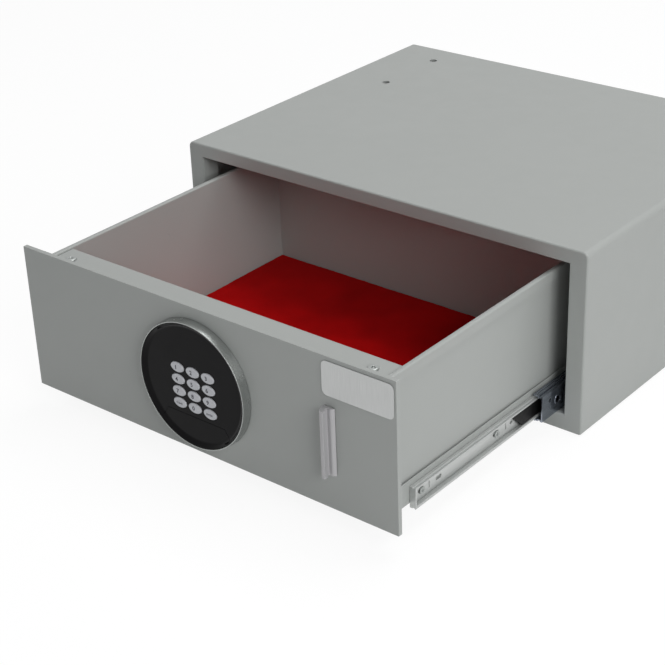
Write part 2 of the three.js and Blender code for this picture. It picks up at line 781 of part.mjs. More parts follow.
// Keypad
function keypadBezel() {
  const inner = bezelRadius - bezelRim;
  const ring = turnedOnPanel([
    [inner - bezelFlange, seatGap], [bezelRadius, seatGap],
    [bezelRadius - bezelTaper, bezelHeight - bezelChamfer],
    [bezelRadius - bezelTaper - bezelChamfer, bezelHeight], [inner + bezelInnerChamfer, bezelHeight],
    [inner, bezelHeight - bezelInnerChamfer], [inner, seatGap + bezelFlangeHeight],
    [inner - bezelFlange, seatGap + bezelFlangeHeight],
  ], keypadX, keypadZ, bezelSegments);
  const bores = keypadScrewPlaces().map((x) =>
    rod('y', screwShank + 2 * holeClearance, -seatGap - bezelFlangeHeight - 1, 0, x, keypadZ));
  return cut(ring, bores);
}

function ellipse(width, height, x, z) {
  const shape = new THREE.Shape();
  shape.absellipse(x, z, width / 2, height / 2, 0, 2 * Math.PI, false, 0);
  return new THREE.Shape(shape.getPoints(keySegments).slice(0, -1));
}

function keyPlaces() {
  const places = [];
  for (let row = 0; row < keyRows; row += 1) {
    for (let column = 0; column < keyColumns; column += 1) {
      const x = keypadX + (column - (keyColumns - 1) / 2) * keyPitchX;
      const z = keypadZ - keyDrop + ((keyRows - 1) / 2 - row) * keyPitchZ;
      places.push([x, z]);
    }
  }
  return places;
}

function keypadFace() {
  const dish = turnedOnPanel([
    [0, faceBack], [faceRadius - faceSkirt - faceRim, faceBack],
    [faceRadius - faceSkirt, seatGap + bezelFlangeHeight + seatGap],
    [faceRadius, seatGap + bezelFlangeHeight + seatGap], [faceRadius, bezelHeight - seatGap],
    [faceRadius - faceRim, bezelHeight - seatGap], [faceRadius - faceSlope, faceFront], [0, faceFront],
  ], keypadX, keypadZ, bezelSegments);
  const windows = keyPlaces().map(([x, z]) => {
    const window = ellipse(keyWidth + 2 * holeClearance, keyHeight + 2 * holeClearance, -x, z);
    return prism(window, 'y', -faceFront - 1, -faceBack + 1);
  });
  return cut(dish, windows);
}

function key(x, z) {
  const flange = ellipse(keyWidth + 2 * (holeClearance + keyFlange), keyHeight + 2 * keyFlange, -x, z);
  return prism(ellipse(keyWidth, keyHeight, -x, z), 'y', -keyTop, -keyFlangeBack).add(
    prism(flange, 'y', -keyFlangeFront, -keyFlangeBack));
}

function disc(radius, from, to) {
  return rod('y', 2 * radius, -to, -from, keypadX, keypadZ, 48);
}

// Pull handle: a rounded base, a cove for the fingertips and an overhanging lip
function pullHandle() {
  const baseEnd = handleWidth - handleBaseLength;
  const baseTop = handleBaseRise + seatGap;
  const lipBottom = handleReach - handleLipDepth;
  const shape = new THREE.Shape();
  shape.moveTo(0, seatGap);
  shape.lineTo(handleWidth, seatGap);
  shape.lineTo(handleWidth, handleEdge + seatGap);
  shape.quadraticCurveTo((handleWidth + baseEnd) / 2, baseTop, baseEnd, baseTop);
  shape.quadraticCurveTo(handleWall, baseTop, handleWall, (baseTop + lipBottom) / 2);
  shape.quadraticCurveTo(handleWall, lipBottom, handleLipRight, lipBottom);
  shape.lineTo(handleLipRight, handleReach);
  shape.lineTo(handleLipLeft, handleReach);
  shape.lineTo(0, handleShoulder);
  const points = shape.getPoints(5).map((p) => new THREE.Vector2(handleX + p.x, -p.y));
  const profile = new THREE.Shape(points);
  const grip = prism(profile, 'z', handleBottom, handleBottom + handleHeight);
  const bores = handleScrewHeights().map((z) => rod('y', screwShank + 2 * holeClearance,
    -handleScrewDepth - seatGap, 1, handleX + handleScrewInset, z));
  return cut(grip, bores);
}

function namePlate() {
  const shape = roundedRectangle(-plateRight, -plateRight + plateWidth, plateTop - plateHeight, plateTop,
    plateRadius);
  return prism(shape, 'y', -seatGap - plateThickness, -seatGap);
}

// Locking bolts, riveted into the bar that the rack lifts and lowers
function lockingBolt(x) {
  const shoulder = barZ - seatGap;
  const headBottom = barZ + barThickness + seatGap;
  return join([
    rod('z', boltDiameter, boltBottom, shoulder, x, boltY),
    rod('z', boltSpigot, shoulder - 1, headBottom + 1, x, boltY),
    rod('z', boltHead, headBottom, headBottom + boltHeadHeight, x, boltY),
  ]);
}

function rackTooth(z) {
  const root = toothPitch / 2 - toothBacklash / 2;
  const half = (out) => root / 2 - out * pressureSlope;
  return outline([
    [-toothDedendum - 0.5, z - half(-toothDedendum)], [-toothDedendum, z - half(-toothDedendum)],
    [toothAddendum, z - half(toothAddendum)], [toothAddendum, z + half(toothAddendum)],
    [-toothDedendum, z + half(-toothDedendum)], [-toothDedendum - 0.5, z + half(-toothDedendum)],
  ]);
}

function boltBar() {
  const bar = cut(
    block(-barHalfLength, barHalfLength, boltY - barHalfDepth, boltY + barHalfDepth,
      barZ, barZ + barThickness),
    [-boltX, boltX].map((x) =>
      rod('z', boltSpigot + 2 * holeClearance, barZ - 1, barZ + barThickness + 1, x, boltY)));
  const gearFrom = boltY - gearHalfThickness;
  const gearTo = boltY + gearHalfThickness;
  const strip = block(-toothDedendum - rackBack, -toothDedendum, gearFrom, gearTo, barZ + 1, rackTop);
  const teeth = Array.from({ length: rackTeeth }, (_, i) =>
    prism(outlineAcross(rackTooth(pinionZ + (i - rackTeethBelow) * toothPitch)), 'y', gearFrom, gearTo));
  return join([bar, strip, ...teeth]);
}

function drivePinion() {
  const half = toothPitch / 4 - toothBacklash / 4;
  const tip = half - toothAddendum * pressureSlope;
  const root = half + toothDedendum * pressureSlope;
  const points = [];
  for (let tooth = 0; tooth < pinionTeeth; tooth += 1) {
    const angle = (tooth + 0.5) * 2 * Math.PI / pinionTeeth;
    const corners = [
      [pinionRadius - toothDedendum, -root], [pinionRadius + toothAddendum, -tip],
      [pinionRadius + toothAddendum, tip], [pinionRadius - toothDedendum, root],
    ];
    for (const [radius, across] of corners) {
      const turn = angle + Math.asin(across / radius);
      points.push([-pinionRadius - radius * Math.cos(turn), pinionZ + radius * Math.sin(turn)]);
    }
  }
  const gear = prism(outline(points), 'y', boltY - gearHalfThickness, boltY + gearHalfThickness);
  const shaft = rod('y', shaftDiameter, boltY, motorFront + shaftEngagement, pinionRadius, pinionZ, 16);
  return gear.add(shaft);
}

// Lock chassis: a channel behind the panel, its long lower flange carrying the bolts' guides
function lockChassis() {
  const profile = sheet([
    [panelBack, chassisBottom], [chassisBack, chassisBottom],
    [chassisBack, chassisTop], [panelBack, chassisTop],
  ], chassisSheet);
  const channel = prism(profile, 'x', -chassisHalfWidth, chassisHalfWidth);
  const flangeHalf = boltX + guideHalfWidth;
  const flange = block(-flangeHalf, flangeHalf, panelBack, chassisBack,
    chassisBottom, chassisBottom + chassisSheet);
  const guides = [-boltX, boltX].map((x) =>
    block(x - guideHalfWidth, x + guideHalfWidth, panelBack, guideBack, guideZ, guideZ + guideHeight));
  const guideBores = [-boltX, boltX].map((x) =>
    rod('z', boltDiameter + 2 * holeClearance, guideZ - 1, guideZ + guideHeight + 1, x, boltY));
  const shaftBore = rod('y', shaftDiameter + 2 * shaftClearance, chassisWeb - 1, chassisBack + 1,
    pinionRadius, pinionZ);
  return cut(join([channel, flange, ...guides]), [...guideBores, shaftBore]);
}

function gearMotor() {
  const half = motorBoxSize / 2;
  const boxBack = motorFront + motorBoxDepth;
  const box = block(pinionRadius - half, pinionRadius + half, motorFront, boxBack,
    pinionZ - half, pinionZ + half);
  const canX = pinionRadius + half;
  const can = rod('x', motorCanDiameter, canX - 1, canX + motorCanLength,
    (motorFront + boxBack) / 2, pinionZ);
  return box.add(can).subtract(rod('y', shaftDiameter + 2 * holeClearance, motorFront - 1,
    motorFront + shaftEngagement + seatGap, pinionRadius, pinionZ));
}

// Control board with its spacers, connector and driver block
function lockBoard() {
  const right = pinionRadius - motorBoxSize / 2 - boardSpacer;
  const left = right - boardWidth;
  const top = chassisTop - boardEdge;
  const bottom = top - boardHeight;
  const boardFace = motorFront + boardSpacer;
  const boardBack = boardFace + boardThickness;
  const spacers = [left + boardEdge, right - boardEdge].flatMap((x) =>
    [bottom + boardEdge, top - boardEdge].map((z) =>
      rod('y', boardSpacerDiameter, motorFront, boardFace + boardThickness / 2, x, z, 12)));
  const partTop = boardBack + boardPartHeight;
  return join([
    block(left, right, boardFace, boardBack, bottom, top),
    block(left + 2 * boardEdge, right - 2 * boardEdge, boardBack - boardThickness / 2, partTop,
      top - 4 * boardEdge, top - 2 * boardEdge),
    block(left + 2 * boardEdge, left + 5 * boardEdge, boardBack - boardThickness / 2,
      boardBack + boardThickness, bottom + 2 * boardEdge, bottom + 5 * boardEdge),
    ...spacers,
  ]);
}

// Battery holder on the cover's rear wall, with a pack of shrink-wrapped cells
const cellY = coverInner - seatGap - holderWall - seatGap - cellDiameter / 2;
const cellFullLength = cellLength + cellButtonHeight;

function batteryHolder() {
  const holderBack = coverInner - seatGap;
  const holderFront = cellY - cellDiameter / 4;
  const innerLength = cellFullLength + 2 * seatGap;
  const innerHeight = cellCount * cellDiameter + 2 * seatGap;
  const left = holderRightX - innerLength - 2 * holderWall;
  const top = holderZ + innerHeight + 2 * holderWall;
  return block(left, holderRightX, holderFront, holderBack, holderZ, top).subtract(
    block(left + holderWall, holderRightX - holderWall, holderFront - 1, holderBack - holderWall,
      holderZ + holderWall, top - holderWall));
}

function batteryPack() {
  const from = holderRightX - holderWall - seatGap - cellFullLength;
  const lowest = holderZ + holderWall + seatGap;
  const cells = Array.from({ length: cellCount }, (_, i) => {
    const z = lowest + (i + 1 / 2) * cellDiameter;
    const flipped = i % 2 === 1;
    const barrelFrom = flipped ? from + cellButtonHeight : from;
    const buttonFrom = flipped ? from : from + cellLength - 1;
    return rod('x', cellDiameter, barrelFrom, barrelFrom + cellLength, cellY, z).add(
      rod('x', cellButton, buttonFrom, buttonFrom + cellButtonHeight + 1, cellY, z, 12));
  });
  const wrap = block(from + cellButtonHeight, from + cellLength, cellY - cellWrapHalf, cellY + cellWrapHalf,
    lowest + cellDiameter / 2, lowest + (cellCount - 1 / 2) * cellDiameter);
  return join([wrap, ...cells]);
}

// The body's fixed pieces
place(body, 'outer_shell', outerShell(), paint);
place(body, 'back_panel', backPanel(), paint);
const bothSides = [['left', -1], ['right', 1]];
for (const [side, sign] of bothSides) {
  place(body, `slide_bracket_${side}`, mirrored(slideBracket(), sign), zinc);
  place(body, `cabinet_slide_${side}`, mirrored(cabinetMember(), sign), zinc);
}

// The slides' travelling pieces, at the places they have with the drawer open
const innerCageProfile = chamferedChannelProfile(innerCageInset, innerCageWeb + cageSheet, innerCageW,
  innerCageChamfer);
const outerCageProfile = channelProfile(outerCageInset, outerCageWeb + cageSheet, outerCageW);
const innerCageY = cabinetSlideY + innerCageSetback;
const outerCageY = cabinetSlideY + outerCageSetback;
for (const [side, sign] of bothSides) {
  const inner = ballCage(innerCageProfile, innerBallLine, innerBallW, innerCageY, innerCageLength);
  const outer = ballCage(outerCageProfile, outerBallLine, outerBallW, outerCageY, outerCageLength);
  place(body, `mid_slide_${side}`, mirrored(midMember(), sign), zinc, midShift);
  place(body, `inner_ball_cage_${side}`, mirrored(inner, sign), blackPlastic, innerCageShift);
  place(body, `outer_ball_cage_${side}`, mirrored(outer, sign), zinc, outerCageShift);
}

// The drawer and its lining
place(drawer, 'front_panel', frontPanel(), paint);
place(drawer, 'tray_body', trayBody(), paint);
place(drawer, 'tray_outer_skin', trayOuterSkin(), paint);
place(drawer, 'base_pan', basePan(), paint);
place(drawer, 'floor_lining', floorLining(), redFelt);
for (const [side, sign] of bothSides) {
  place(drawer, `drawer_slide_${side}`, mirrored(drawerMember(), sign), zinc);
  place(drawer, `release_lever_${side}`, mirrored(releaseLever(), sign), blackPlastic);
  drawerSlideScrews().forEach((screw, i) =>
    place(drawer, `slide_screw_${side}_${i + 1}`, mirrored(screw, sign), steel));
}

// The panel's fittings
place(drawer, 'keypad_bezel', keypadBezel(), chrome);
place(drawer, 'keypad_face', keypadFace(), glossBlack);
keyPlaces().forEach(([x, z], i) => place(drawer, `key_${i + 1}`, key(x, z), keySilver));
place(drawer, 'key_mat', disc(matRadius, boardFront + seatGap, matFront), greyRubber);
place(drawer, 'keypad_board', disc(keypadBoardRadius, seatGap, boardFront), circuitGreen);
keypadScrewPlaces().forEach((x, i) => place(drawer, `keypad_screw_${i + 1}`,
  panelScrew(x, keypadZ, seatGap + bezelFlangeHeight), steel));
place(drawer, 'pull_handle', pullHandle(), satinAluminium);
handleScrewHeights().forEach((z, i) => place(drawer, `handle_screw_${i + 1}`,
  panelScrew(handleX + handleScrewInset, z, handleScrewDepth), steel));
place(drawer, 'name_plate', namePlate(), platePaint);

// The lock behind the panel
place(drawer, 'lock_cover', lockCover(), paint);
place(drawer, 'lock_chassis', lockChassis(), zinc);
for (const [side, sign] of bothSides) {
  place(drawer, `cover_screw_${side}`, coverScrew(sign * coverScrewX), steel);
  place(drawer, `locking_bolt_${side}`, lockingBolt(sign * boltX), steel);
}
place(drawer, 'bolt_bar', boltBar(), zinc);
place(drawer, 'drive_pinion', drivePinion(), steel);
place(drawer, 'gear_motor', gearMotor(), blackPlastic);
place(drawer, 'lock_board', lockBoard(), circuitGreen);
place(drawer, 'battery_holder', batteryHolder(), blackPlastic);
place(drawer, 'battery_pack', batteryPack(), cellJacket);

export default safe;
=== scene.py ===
# Looks of an under desk drawer safe: a painted steel body, its drawer open on telescopic slides.
# Metres, in the CAD frame: +X right, +Y back, +Z up. Sizes are written in millimetres, times mm.
import math

import bmesh
import bpy
from mathutils import Matrix, Vector, noise


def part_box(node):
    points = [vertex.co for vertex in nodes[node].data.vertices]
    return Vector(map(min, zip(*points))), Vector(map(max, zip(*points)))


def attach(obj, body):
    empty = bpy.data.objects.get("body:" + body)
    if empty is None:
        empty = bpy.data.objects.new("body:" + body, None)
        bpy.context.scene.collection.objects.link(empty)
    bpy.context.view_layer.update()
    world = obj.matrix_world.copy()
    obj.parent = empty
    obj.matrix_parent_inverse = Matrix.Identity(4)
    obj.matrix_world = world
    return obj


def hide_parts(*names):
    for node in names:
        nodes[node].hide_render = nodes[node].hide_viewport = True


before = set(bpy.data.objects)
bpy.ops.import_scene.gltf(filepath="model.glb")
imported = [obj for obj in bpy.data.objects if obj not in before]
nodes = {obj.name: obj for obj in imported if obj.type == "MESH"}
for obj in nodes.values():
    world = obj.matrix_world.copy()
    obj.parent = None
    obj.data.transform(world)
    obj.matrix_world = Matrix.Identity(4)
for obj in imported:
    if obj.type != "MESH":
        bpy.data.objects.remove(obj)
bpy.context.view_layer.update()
mm = 0.001

# --- Camera ---------------------------------------------------------------------------------------
# A long lens from the front right and above, rolled a little, as the photograph was taken.
# Its place and turn were found from the straight edges of the body, the panel and the keypad.
bpy.ops.object.camera_add(location=(746.24 * mm, -1096.43 * mm, 663.75 * mm))
camera = bpy.context.object
camera.name = "camera"
camera_right = Vector((0.77466085, 0.63146139, -0.03401592))
camera_up = Vector((-0.27239309, 0.38174264, 0.8832183))
camera_ahead = Vector((-0.57070358, 0.67492894, -0.46772679))
camera_turn = Matrix((camera_right, camera_up, -camera_ahead)).transposed()
camera.rotation_euler = camera_turn.to_euler()
camera.data.lens = 88.28
camera.data.sensor_width = 36
camera.data.clip_start = 0.05
bpy.context.scene.camera = camera

# --- Body shell -----------------------------------------------------------------------------------
# The shell is one wrap of 2 mm steel with a front frame folded in and a return behind it.
# It is bent, welded at the corners, ground smooth and powder coated in light grey.
shell_low, shell_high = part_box("outer_shell")
shell_size = shell_high - shell_low
shell_sheet = 2 * mm
shell_bend, foot_bend = 5 * mm, 2.4 * mm
frame_side = 15.5 * mm
frame_rail, frame_sill = 12 * mm, 14.4 * mm
frame_return = 18 * mm
front_round, mouth_round = 1.5 * mm, 1.1 * mm
fixing_bore, fixing_x, fixing_places = 3.5 * mm, 150 * mm, (55 * mm, 130 * mm)


def leave_edit():
    bpy.ops.object.mode_set(mode="OBJECT")


def deselect():
    bpy.ops.object.select_all(action="DESELECT")


def only(piece):
    """Leaves edit mode, deselects everything and makes one piece selected and active."""
    if bpy.context.object and bpy.context.object.mode == "EDIT":
        leave_edit()
    deselect()
    piece.select_set(True)
    bpy.context.view_layer.objects.active = piece


def choose_faces(piece, rule):
    """Opens a piece in edit mode and selects the faces whose middle and normal meet a rule."""
    only(piece)
    bpy.ops.object.mode_set(mode="EDIT")
    bpy.ops.mesh.select_mode(type="FACE")
    bpy.ops.mesh.select_all(action="DESELECT")
    mesh = bmesh.from_edit_mesh(piece.data)
    for face in mesh.faces:
        if rule(face.calc_center_median(), face.normal):
            face.select_set(True)
    bmesh.update_edit_mesh(piece.data)


def choose_edges(piece, rule):
    """Opens a piece in edit mode and selects the edges whose two ends meet a rule."""
    only(piece)
    bpy.ops.object.mode_set(mode="EDIT")
    bpy.ops.mesh.select_mode(type="EDGE")
    bpy.ops.mesh.select_all(action="DESELECT")
    mesh = bmesh.from_edit_mesh(piece.data)
    for edge in mesh.edges:
        if rule(edge.verts[0].co, edge.verts[1].co):
            edge.select_set(True)
    bmesh.update_edit_mesh(piece.data)


def round_edges(piece, rule, radius, segments):
    """Bevels the edges that meet a rule."""
    choose_edges(piece, rule)
    bpy.ops.mesh.bevel(offset=radius, segments=segments, affect="EDGES", profile=0.5)
    leave_edit()


def finish_with(piece, kind, **settings):
    """Adds a modifier to a piece and applies it."""
    only(piece)
    modifier = piece.modifiers.new(kind.lower(), kind)
    for name, value in settings.items():
        setattr(modifier, name, value)
    bpy.ops.object.modifier_apply(modifier=modifier.name)


def break_edges(piece, radius, segments=2, angle=40):
    """The small radius that tools and paint leave on every sharp edge."""
    finish_with(piece, "BEVEL", width=radius, segments=segments, limit_method="ANGLE",
                angle_limit=math.radians(angle), use_clamp_overlap=True)


def shade(piece, angle=35):
    """Smooth shading that leaves flat faces flat."""
    only(piece)
    bpy.ops.object.shade_smooth_by_angle(angle=math.radians(angle))
    finish_with(piece, "WEIGHTED_NORMAL", keep_sharp=True, weight=60)


def added(name):
    """Names the primitive just added, and applies its place, turn and size to its mesh."""
    piece = bpy.context.object
    piece.name = name
    bpy.ops.object.transform_apply(location=True, rotation=True, scale=True)
    return piece


def block(name, corner, opposite):
    """A cube between two opposite corners, given in metres, to be shaped further."""
    low, high = (Vector([pick(pair) for pair in zip(corner, opposite)]) for pick in (min, max))
    deselect()
    bpy.ops.mesh.primitive_cube_add(size=1, location=(low + high) / 2)
    bpy.context.object.scale = high - low
    return added(name)


def rod(name, axis, radius, start, end, centre, vertices=48):
    """A cylinder between two places on an axis, centred on the two other coordinates."""
    deselect()
    middle = (start + end) / 2
    places = {"x": (middle, *centre), "y": (centre[0], middle, centre[1]), "z": (*centre, middle)}
    turns = {"x": (0, math.pi / 2, 0), "y": (math.pi / 2, 0, 0), "z": (0, 0, 0)}
    bpy.ops.mesh.primitive_cylinder_add(vertices=vertices, radius=radius, depth=abs(end - start),
                                        location=places[axis], rotation=turns[axis])
    return added(name)


def joined(name, parts):
    """Joins parts into one piece."""
    only(parts[0])
    for part in parts[1:]:
        part.select_set(True)
    bpy.ops.object.join()
    parts[0].name = name
    return parts[0]


def cut_out(piece, cutters):
    """Cuts tools out of a piece, as a punch or a drill does, and removes the tools."""
    tool = joined("tool", cutters) if len(cutters) > 1 else cutters[0]
    finish_with(piece, "BOOLEAN", operation="DIFFERENCE", solver="EXACT", object=tool)
    bpy.data.objects.remove(tool)


def dress(piece, material):
    """Gives a piece one material all over."""
    piece.data.materials.clear()
    piece.data.materials.append(material)


def fit_on(piece, material, body, slot, *stood_for):
    """Coats a finished piece and puts it on its body, in place of the CAD nodes it stands for."""
    dress(piece, material)
    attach(piece, body)
    if stood_for:
        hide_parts(*stood_for)


def add_node(tree, kind, **values):
    """A new shader node, with values for its inputs, their spaces written as underscores."""
    node = tree.nodes.new(f"ShaderNode{kind}")
    for socket, value in values.items():
        node.inputs[socket.replace("_", " ")].default_value = value
    return node


class Finish:
    """A material's node tree, with the few nodes that every finish here is made of."""

    def __init__(self, name, roughness, metallic=0.0, specular=0.5):
        self.material = bpy.data.materials.new(name)
        self.material.use_nodes = True
        self.tree = self.material.node_tree
        self.shader = self.tree.nodes["Principled BSDF"]
        self.shader.inputs["Roughness"].default_value = roughness
        self.shader.inputs["Metallic"].default_value = metallic
        self.shader.inputs["Specular IOR Level"].default_value = specular
        self.place = self.node("TexCoord").outputs["Object"]

    def link(self, source, target):
        self.tree.links.new(source, target)

    def node(self, kind, **values):
        return add_node(self.tree, kind, **values)

    def stretched(self, scale, centre=(0, 0, 0)):
        """Object coordinates measured from a centre and stretched."""
        mapping = self.node("Mapping", Scale=scale, Location=[-c * s for c, s in zip(centre, scale)])
        self.link(self.place, mapping.inputs["Vector"])
        return mapping.outputs["Vector"]

    def grain(self, scale, detail=3.0, place=None, rough=0.5):
        texture = self.node("TexNoise", Scale=scale, Detail=detail, Roughness=rough)
        self.link(place or self.place, texture.inputs["Vector"])
        return texture.outputs["Fac"]

    def colour(self, factor, low, high, start=0.3, end=0.7):
        """The base colour, from low to high as a factor goes from start to end."""
        ramp = self.node("ValToRGB")
        ramp.color_ramp.elements[0].position = start
        ramp.color_ramp.elements[0].color = (*low, 1)
        ramp.color_ramp.elements[1].position = end
        ramp.color_ramp.elements[1].color = (*high, 1)
        self.link(factor, ramp.inputs["Fac"])
        self.link(ramp.outputs["Color"], self.shader.inputs["Base Color"])

    def range(self, factor, low, high, start=0.3, end=0.7):
        """A number that goes from low to high as a factor goes from start to end."""
        node = self.node("MapRange", From_Min=start, From_Max=end, To_Min=low, To_Max=high)
        self.link(factor, node.inputs["Value"])
        return node.outputs["Result"]

    def roughness(self, factor, low, high):
        self.link(self.range(factor, low, high), self.shader.inputs["Roughness"])

    def relief(self, height, depth, strength):
        bump = self.node("Bump", Strength=strength, Distance=depth)
        self.link(height, bump.inputs["Height"])
        self.link(bump.outputs["Normal"], self.shader.inputs["Normal"])


def powder_coat(name):
    """Light grey powder coat: even in colour, satin, with a fine orange peel."""
    light, dark = (0.425, 0.442, 0.428), (0.419, 0.436, 0.422)
    finish = Finish(name, roughness=0.42, specular=0.4)
    finish.colour(finish.grain(9, 4), dark, light)
    finish.roughness(finish.grain(60, 3), 0.4, 0.47)
    finish.relief(finish.grain(850, 2), 0.05 * mm, strength=0.35)
    return finish.material


body_paint = powder_coat("body_powder_coat")
shell = block("shell_wrap", shell_low, shell_high)
opening_half = shell_size.x / 2 - frame_side
opening_low, opening_high = frame_sill, shell_size.z - frame_rail


def bend_above(a, b, above=True):
    """Edges that run straight back, in the shell's upper half or else its lower half."""
    runs_back = abs(a.y - b.y) > 1 * mm and (a - b).length - abs(a.y - b.y) < 0.01 * mm
    return runs_back and (a.z > shell_size.z / 2) == above


def bend_below(a, b):
    return bend_above(a, b, False)


def at_shell_front(*points):
    return all(abs(point.y - shell_low.y) < 0.01 * mm for point in points)


def at_mouth(*points):
    """Edges of the shell's front face that frame its opening."""
    slack = 0.01 * mm
    return at_shell_front(*points) and all(
        abs(p.x) < opening_half + slack and opening_low - slack < p.z < opening_high + slack
        for p in points)


round_edges(shell, bend_above, shell_bend, 7)
round_edges(shell, bend_below, foot_bend, 5)
round_edges(shell, at_shell_front, front_round, 4)
hollow = block("hollow", (shell_low.x + shell_sheet, shell_low.y + shell_sheet, shell_sheet),
               (shell_high.x - shell_sheet, shell_high.y + 5 * mm, shell_high.z - shell_sheet))
round_edges(hollow, bend_above, shell_bend - shell_sheet, 5)
round_edges(hollow, bend_below, foot_bend - shell_sheet, 2)
cut_out(shell, [hollow])
folded_return = block(
    "return", (-opening_half - shell_sheet, shell_low.y + 0.8 * mm, opening_low - shell_sheet),
    (opening_half + shell_sheet, shell_low.y + frame_return, opening_high + shell_sheet))
finish_with(shell, "BOOLEAN", operation="UNION", solver="EXACT", object=folded_return)
bpy.data.objects.remove(folded_return)
cut_out(shell, [block("opening", (-opening_half, shell_low.y - 5 * mm, opening_low),
                      (opening_half, shell_low.y + 30 * mm, opening_high))])
round_edges(shell, at_mouth, mouth_round, 3)
bolt_hole = 9.4 * mm
bolt_x = 108 * mm
bolt_y = shell_low.y + 11.4 * mm
half_hole = bolt_hole / 2
cut_out(shell, [block("punch", (x - half_hole, bolt_y - half_hole, 5 * mm),
                      (x + half_hole, bolt_y + half_hole, 16 * mm)) for x in (-bolt_x, bolt_x)])
cut_out(shell, [rod("drill", "z", fixing_bore, 150 * mm, 158 * mm, (x, y), 32)
                for x in (-fixing_x, fixing_x) for y in fixing_places])
shade(shell)
fit_on(shell, body_paint, "cabinet", "body_paint", "outer_shell")

# --- Back panel -----------------------------------------------------------------------------------
# A flanged sheet set into the back of the wrap and spot welded through its flange.
# It is coated with the body, in the same light grey.
dress(nodes["back_panel"], powder_coat("back_powder_coat"))

# --- Slides, fixed and middle members -------------------------------------------------------------
# Rolled steel channels, zinc plated, one inside the other, with rows of balls in pressed cages.
# The cabinet members are spot welded to angle brackets that stand on the body's floor.


def zinc_plate(name, light=(0.56, 0.58, 0.60), dark=(0.44, 0.46, 0.48), roughness=0.34,
               metallic=0.8):
    """Zinc plate: drawn out along the rolling direction, a little cloudy."""
    finish = Finish(name, roughness=roughness, metallic=metallic)
    rolled = finish.stretched((260, 9, 260))
    finish.colour(finish.grain(1, 4, rolled), dark, light, 0.25, 0.75)
    finish.roughness(finish.grain(38, 3), roughness - 0.06, roughness + 0.08)
    finish.relief(finish.grain(1.6, 2, rolled), 0.03 * mm, strength=0.25)
    return finish.material


slide_zinc = zinc_plate("slide_zinc_plate", (0.34, 0.37, 0.42), (0.20, 0.22, 0.26), 0.2, 0.92)
for side in ("left", "right"):
    dress(nodes[f"slide_bracket_{side}"], zinc_plate(f"bracket_zinc_{side}"))
    dress(nodes[f"cabinet_slide_{side}"], slide_zinc)
    dress(nodes[f"outer_ball_cage_{side}"], slide_zinc)


def every_face(middle, normal):
    return True


def from_frame(name, node):
    """A copy of a CAD node's mesh, merged and cleaned of flat edges, to be finished further."""
    deselect()
    piece = bpy.data.objects.new(name, nodes[node].data.copy())
    bpy.context.scene.collection.objects.link(piece)
    choose_faces(piece, every_face)
    bpy.ops.mesh.remove_doubles(threshold=0.001 * mm)
    bpy.ops.mesh.dissolve_limited(angle_limit=math.radians(1))
    leave_edit()
    return piece


slide_mid_z = 26.4 * mm
mid_web = 178.5 * mm
boss_back, pinhole_back = 22 * mm, 11 * mm
for side, sign in (("left", -1), ("right", 1)):
    member = from_frame(f"middle_member_{side}", f"mid_slide_{side}")
    member_low, member_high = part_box(f"mid_slide_{side}")
    web = mid_web * sign
    front_end = member_low.y
    # a pressed boss round a hole, and a smaller hole in front of it
    boss = rod("boss", "x", 4.6 * mm, web - 0.2 * mm * sign, web + 0.25 * mm * sign,
               (front_end + boss_back, slide_mid_z), 40)
    round_edges(boss, lambda a, b: min(abs(a.x), abs(b.x)) > 178.6 * mm
                and abs(a.x - b.x) < 0.01 * mm, 0.2 * mm, 3)
    cut_out(boss, [rod("drill", "x", 3.0 * mm, web - 3 * mm * sign, web + 3 * mm * sign,
                       (front_end + boss_back, slide_mid_z), 40)])
    cut_out(member, [rod("drill", "x", 1.6 * mm, web - 3 * mm * sign, web + 3 * mm * sign,
                         (front_end + pinhole_back, slide_mid_z + 3.5 * mm), 24)])
    member = joined(f"middle_member_{side}", [member, boss])
    break_edges(member, 0.28 * mm, 2, 35)
    shade(member)
    fit_on(member, slide_zinc, f"mid_member_{side}", "zinc", f"mid_slide_{side}")

# --- Inner ball cages -----------------------------------------------------------------------------
# Moulded in black plastic, each grips two rows of small steel balls between the members.
# Only their ends show, inside the middle member.


def moulded_black(name, roughness=0.48):
    """Black moulded plastic with a fine spark-eroded texture."""
    tone = 0.005
    finish = Finish(name, roughness=roughness, specular=0.12)
    finish.colour(finish.grain(120, 4), (tone * 0.8,) * 3, (tone * 1.4,) * 3)
    finish.roughness(finish.grain(300, 2), roughness - 0.06, roughness + 0.08)
    finish.relief(finish.grain(1500, 2), 0.03 * mm, strength=0.3)
    return finish.material


black_moulding = moulded_black("cage_black_plastic")
for side in ("left", "right"):
    dress(nodes[f"inner_ball_cage_{side}"], black_moulding)

# --- Front panel ----------------------------------------------------------------------------------
# A 4 mm steel plate, laser cut, its edges broken, powder coated like the body.
# It closes inside the opening and carries the keypad, the handle and the name plate.
panel_low, panel_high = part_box("front_panel")
panel = block("panel_plate", panel_low, panel_high)
panel_through = panel_low.y - 1 * mm, panel_high.y + 1 * mm
bore = 1.8 * mm
keypad_x, keypad_z = -1 * mm, 76.5 * mm
panel_bores = [rod("drill", "y", 6 * mm, *panel_through, (keypad_x, keypad_z + 24 * mm), 32)]
for node in ("keypad_screw_1", "keypad_screw_2", "handle_screw_1", "handle_screw_2"):
    screw_low, screw_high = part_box(node)
    spot = (screw_low + screw_high) / 2
    panel_bores.append(rod("drill", "y", bore, *panel_through, (spot.x, spot.z), 24))
cut_out(panel, panel_bores)
break_edges(panel, 0.45 * mm, 3)
shade(panel)
fit_on(panel, body_paint, "drawer", "body_paint", "front_panel")
panel_face = panel_low.y

# --- Tray -----------------------------------------------------------------------------------------
# The tray is folded from 1.2 mm sheet: floor, side walls and back wall, their tops hemmed outwards.
# An outer skin is spot welded round it, and a 1.5 mm base pan with upturned flanges goes under it.


